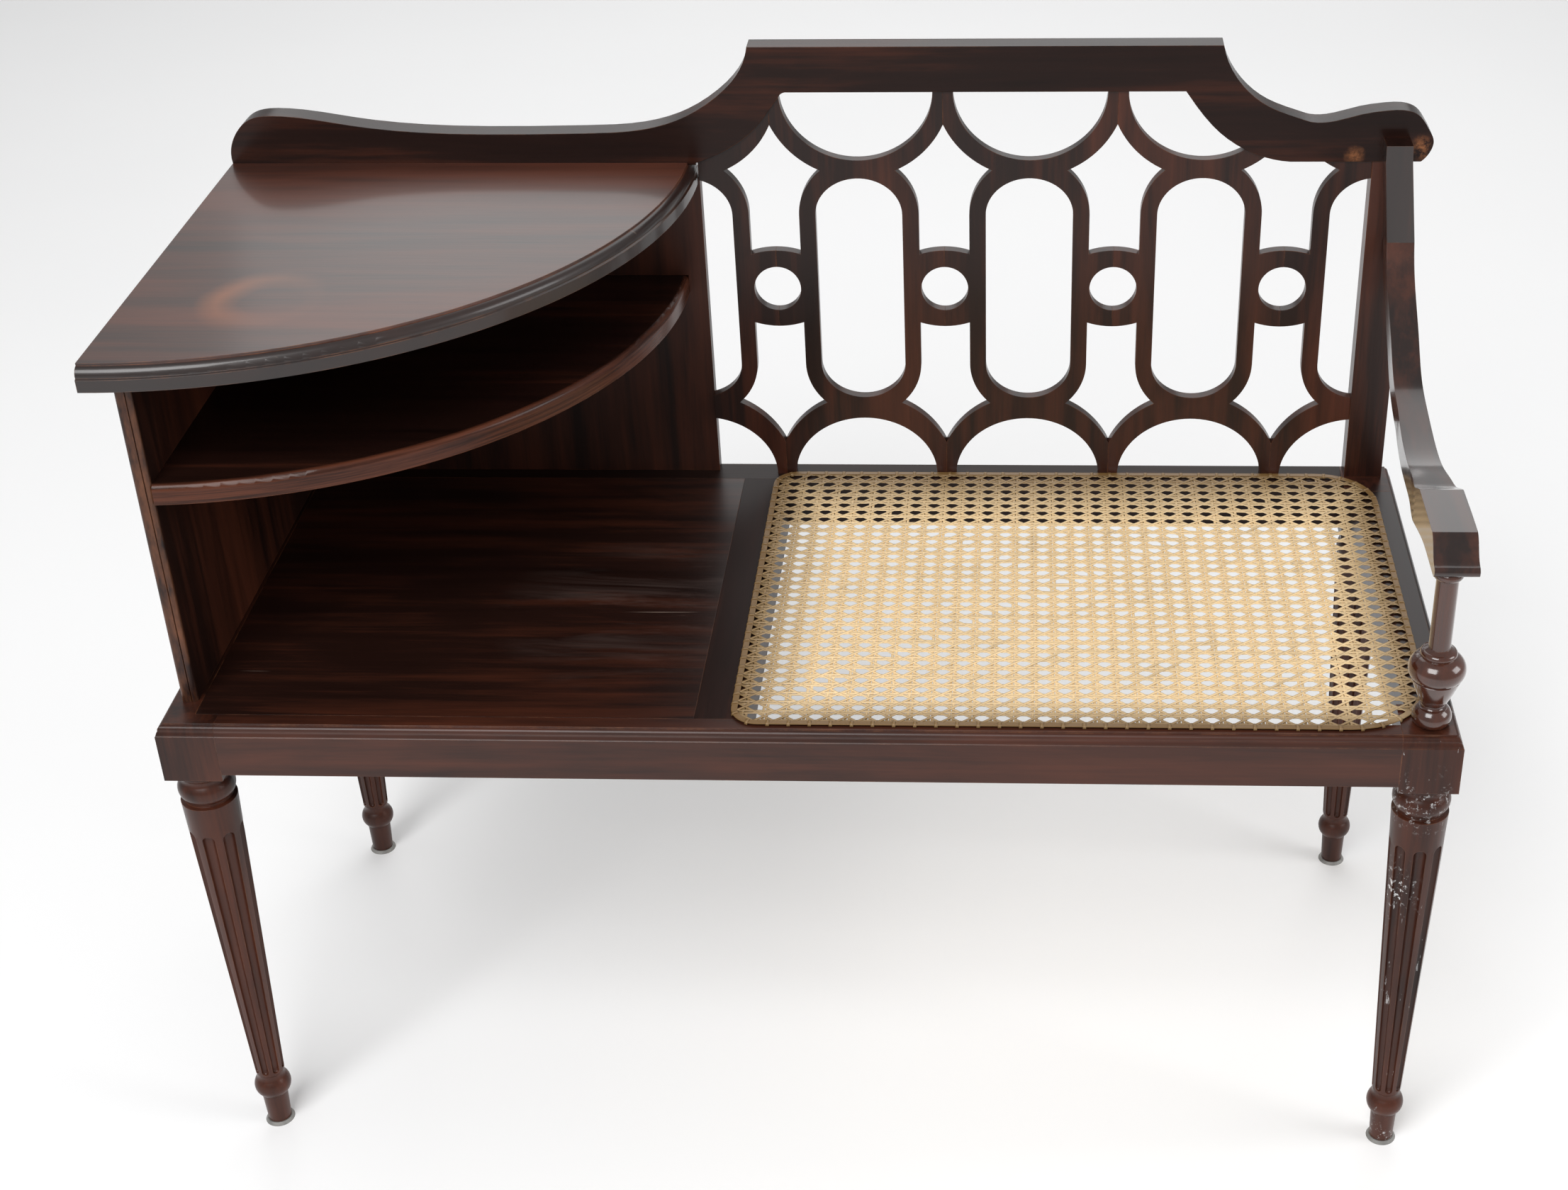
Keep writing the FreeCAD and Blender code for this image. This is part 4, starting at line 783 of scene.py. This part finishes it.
class BENCH_OT_cane(bpy.types.Operator):
    """Weaves the seat: pairs both ways, diagonals midway between crossings, and the binder with its loops"""
    bl_idname = "bench.cane"
    bl_label = "Weave the cane seat"

    def execute(self, context):
        cane = settings()[0]
        columns, rows = grid_lines()
        width = cane.strand_width
        slant_width = width * SLANT_WIDTH_SHARE
        upright = bmesh.new()
        for x in columns:
            for side in (-1, 1):
                middle = Vector((x + side * cane.pair_spread, (FRONT + BACK) / 2))
                add_strand(upright, middle, Vector((0, 1)), width, cane.row_pitch / 2,
                           weave_height(UPRIGHT_LEVEL, PAIR_SWING, 0 if side > 0 else math.pi))
        cross = bmesh.new()
        for y in rows:
            for side in (-1, 1):
                middle = Vector(((FIELD_LOW.x + FIELD_HIGH.x) / 2, y + side * cane.pair_spread))
                add_strand(cross, middle, Vector((1, 0)), width, cane.column_pitch / 2,
                           weave_height(CROSS_LEVEL, PAIR_SWING, 0 if side > 0 else math.pi))
        diagonal = bmesh.new()
        for way in (1, -1):
            slant = Vector((cane.column_pitch, way * cane.row_pitch)).normalized()
            first_y = (rows[0] if way > 0 else rows[-1]) + cane.row_pitch / 2
            starts = [Vector((x, first_y)) for x in columns]
            starts += [Vector((columns[0], y + cane.row_pitch / 2)) for y in rows]
            # Both copies of the corner's start are dropped, so its diagonal is missing from the weave
            corner = Vector((columns[0], first_y))
            starts = [start for start in starts if (start - corner).length > SAME_PLACE]
            level = SLANT_LEVEL + SLANT_LEVEL_STEP * way
            for start in starts:
                tries = [start + slant * reach for reach in SLANT_REACHES]
                inside = [point for point in tries if inside_field(point.x, point.y, SLANT_INSET)]
                if inside:
                    add_strand(diagonal, inside[0], slant, slant_width, cane.column_pitch / 2,
                               weave_height(level, SLANT_SWING, 0))
        angle = math.atan2(cane.row_pitch, cane.column_pitch)
        pieces = [
            finish_piece(upright, "cane_uprights", cane_material("cane_upright", math.pi / 2)),
            finish_piece(cross, "cane_crosswise", cane_material("cane_cross", 0.0)),
            finish_piece(diagonal, "cane_diagonals", cane_material("cane_slant", angle)),
        ]
        for piece in pieces:
            thicken(piece, cane.strand_thickness)
        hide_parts("cane_panel")
        self.bind_edge(cane)
        return {"FINISHED"}

    def bind_edge(self, cane):
        """The binder strip, and the loops that tie it down at each hole."""
        strip = bmesh.new()
        for centre, radius, (side, end) in field_edge(0.0):
            first = arc_start(side, end)
            for step in range(ARC_STEPS + 1):
                angle = first + math.radians(90) * step / ARC_STEPS
                x = centre.x + radius * math.cos(angle)
                y = centre.y + radius * math.sin(angle)
                strip.verts.new((x, y, 0))
        face = strip.faces.new(strip.verts)
        strip.normal_update()
        bmesh.ops.inset_region(strip, faces=[face], thickness=cane.binder_width, use_boundary=True,
                               use_even_offset=True)
        inner = [item for item in strip.faces if item is face or len(item.verts) > 4]
        bmesh.ops.delete(strip, geom=inner, context="FACES")
        raised = bmesh.ops.extrude_face_region(strip, geom=list(strip.faces), use_keep_orig=True)
        top = [item for item in raised["geom"] if isinstance(item, bmesh.types.BMVert)]
        bmesh.ops.translate(strip, verts=top, vec=(0, 0, BINDER_THICKNESS))
        bmesh.ops.translate(strip, verts=list(strip.verts), vec=(0, 0, SEAT + BINDER_LEVEL))
        bmesh.ops.recalc_face_normals(strip, faces=list(strip.faces))
        material = cane_material("cane_edge", EDGE_FIBRE_TURN, BINDER_DIRT)
        piece = finish_piece(strip, "cane_edge_strip", material, smooth=False)
        soften = piece.modifiers.new("Rounding", "BEVEL")
        soften.width = BINDER_ROUNDING
        soften.segments = 2
        soften.limit_method = "ANGLE"
        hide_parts("cane_binder")
        loops = bmesh.new()
        length = cane.binder_width * LOOP_REACH
        for place, across in self.loop_places(cane):
            turn = Matrix.Rotation(math.atan2(across.y, across.x), 4, "Z")
            scale = Matrix.Diagonal((length, LOOP_WIDTH, 1, 1))
            matrix = Matrix.Translation((place.x, place.y, 0)) @ turn @ scale
            made = bmesh.ops.create_grid(loops, x_segments=6, y_segments=2, size=0.5, matrix=matrix)
            for vert in made["verts"]:
                offset = (Vector((vert.co.x, vert.co.y)) - place).dot(across) / (length / 2)
                vert.co.z = SEAT + LOOP_LEVEL + LOOP_RISE * math.sqrt(max(0.0, 1 - offset ** 4))
        material = cane_material("cane_loop", LOOP_FIBRE_TURN, LOOP_DIRT)
        piece = finish_piece(loops, "cane_edge_loops", material)
        thicken(piece, cane.strand_thickness)

    def loop_places(self, cane):
        """Places and directions of the loops: one at each hole round the rounded edge."""
        corners = field_edge(cane.binder_width / 2)
        places = []
        for index, (centre, radius, (side, end)) in enumerate(corners):
            following = corners[(index + 1) % 4]
            first = arc_start(side, end)
            arc_count = max(1, round(radius * math.pi / 2 / cane.column_pitch))
            for step in range(arc_count):
                angle = first + math.radians(90) * (step + 0.5) / arc_count
                out = Vector((math.cos(angle), math.sin(angle)))
                places.append((centre + out * radius, out))
            last = first + math.radians(90)
            out = Vector((math.cos(last), math.sin(last)))
            start = centre + out * radius
            finish = following[0] + out * following[1]
            run = finish - start
            pitch = cane.column_pitch if abs(run.x) > abs(run.y) else cane.row_pitch
            count = max(1, round(run.length / pitch))
            for step in range(count):
                places.append((start + run * (step + 0.5) / count, out))
        return places


# Stage

# name, place, aim, width in metres, power in watts
LAMPS = (
    ("key_light", (-0.9, -2.3, 3.0), (0, 0, 0.4), 2.0, 102),
    ("side_light", (2.6, -0.5, 1.5), (0.3, 0, 0.6), 1.2, 22),
    ("back_light", (0.0, 2.8, 2.9), (0, 0, 0.4), 3.4, 44),
)
SENSOR_WIDTH = 36
FLOOR_HALF = 6.0
FLOOR_SHADES = ((0.90, 0.90, 0.905), (0.94, 0.94, 0.94))
SURROUND_LIGHT = 0.48
SURROUND_SEEN = 0.5


def area_light(name, place, aim, size, power):
    """A soft square lamp aimed at a point."""
    data = bpy.data.lights.new(name, "AREA")
    data.size = size
    data.energy = power
    lamp = bpy.data.objects.new(name, data)
    lamp.location = place
    lamp.rotation_euler = (Vector(aim) - Vector(place)).to_track_quat("-Z", "Y").to_euler()
    bpy.context.scene.collection.objects.link(lamp)


class BENCH_OT_stage(bpy.types.Operator):
    """Sets the pale floor, soft studio light and the camera"""
    bl_idname = "bench.stage"
    bl_label = "Set the stage"

    def execute(self, context):
        stage = settings()[2]
        bm = bmesh.new()
        bmesh.ops.create_grid(bm, x_segments=2, y_segments=2, size=FLOOR_HALF)
        mesh = bpy.data.meshes.new("floor")
        bm.to_mesh(mesh)
        bm.free()
        floor = bpy.data.objects.new("floor", mesh)
        context.scene.collection.objects.link(floor)
        mesh.materials.append(self.floor_material())
        self.set_world(context)
        for lamp in LAMPS:
            area_light(*lamp)
        data = bpy.data.cameras.new("camera")
        data.sensor_width = SENSOR_WIDTH
        data.lens = stage.lens
        data.shift_x = stage.shift
        camera = bpy.data.objects.new("camera", data)
        tilt, roll, heading = stage.camera_turn
        aim = Matrix.Rotation(heading, 4, "Z") @ Matrix.Rotation(tilt, 4, "X")
        turn = aim @ Matrix.Rotation(roll, 4, "Z")
        camera.matrix_world = Matrix.Translation(stage.camera_place) @ turn
        context.scene.collection.objects.link(camera)
        context.scene.camera = camera
        context.scene.view_settings.view_transform = "Standard"
        return {"FINISHED"}

    def floor_material(self):
        """Near-white studio floor with the faintest mottling."""
        material, tree, shader, place = begin_material("studio_floor")
        mottle = noise(tree, place, 1.4, 3, 0.5)
        colour = mix_colour(tree, mottle, *FLOOR_SHADES)
        link(tree, colour, shader.inputs["Base Color"])
        shader.inputs["Roughness"].default_value = 0.6
        shader.inputs["Specular IOR Level"].default_value = 0.2
        return material

    def set_world(self, context):
        """Plain white surround: seen at full white, lighting the bench at a plain level."""
        world = bpy.data.worlds.new("studio")
        world.use_nodes = True
        context.scene.world = world
        tree = world.node_tree
        background = tree.nodes["Background"]
        background.inputs["Color"].default_value = (1, 1, 1, 1)
        path = tree.nodes.new("ShaderNodeLightPath")
        seen = math_node(tree, "MULTIPLY", path.outputs["Is Camera Ray"], SURROUND_SEEN)
        link(tree, math_node(tree, "ADD", seen, SURROUND_LIGHT), background.inputs["Strength"])


class BENCH_PT_panel(bpy.types.Panel):
    """Sizes and steps of the bench"""
    bl_idname = "BENCH_PT_panel"
    bl_label = "Telephone bench"
    bl_space_type = "VIEW_3D"
    bl_region_type = "UI"
    bl_category = "Bench"

    def draw(self, context):
        layout = self.layout
        layout.operator("bench.wood")
        layout.operator("bench.cane")
        layout.operator("bench.stage")
        for group in settings():
            for name in group.__annotations__:
                layout.prop(group, name)


CLASSES = (
    CaneSettings, WoodSettings, StageSettings,
    BENCH_OT_wood, BENCH_OT_cane, BENCH_OT_stage, BENCH_PT_panel,
)


def register():
    for item in CLASSES:
        bpy.utils.register_class(item)
    bpy.types.Scene.bench_cane = bpy.props.PointerProperty(type=CaneSettings)
    bpy.types.Scene.bench_wood = bpy.props.PointerProperty(type=WoodSettings)
    bpy.types.Scene.bench_stage = bpy.props.PointerProperty(type=StageSettings)


def unregister():
    del bpy.types.Scene.bench_stage
    del bpy.types.Scene.bench_wood
    del bpy.types.Scene.bench_cane
    for item in reversed(CLASSES):
        bpy.utils.unregister_class(item)


def main():
    register()
    bpy.ops.bench.wood()
    bpy.ops.bench.cane()
    bpy.ops.bench.stage()


if __name__ == "__main__":
    main()
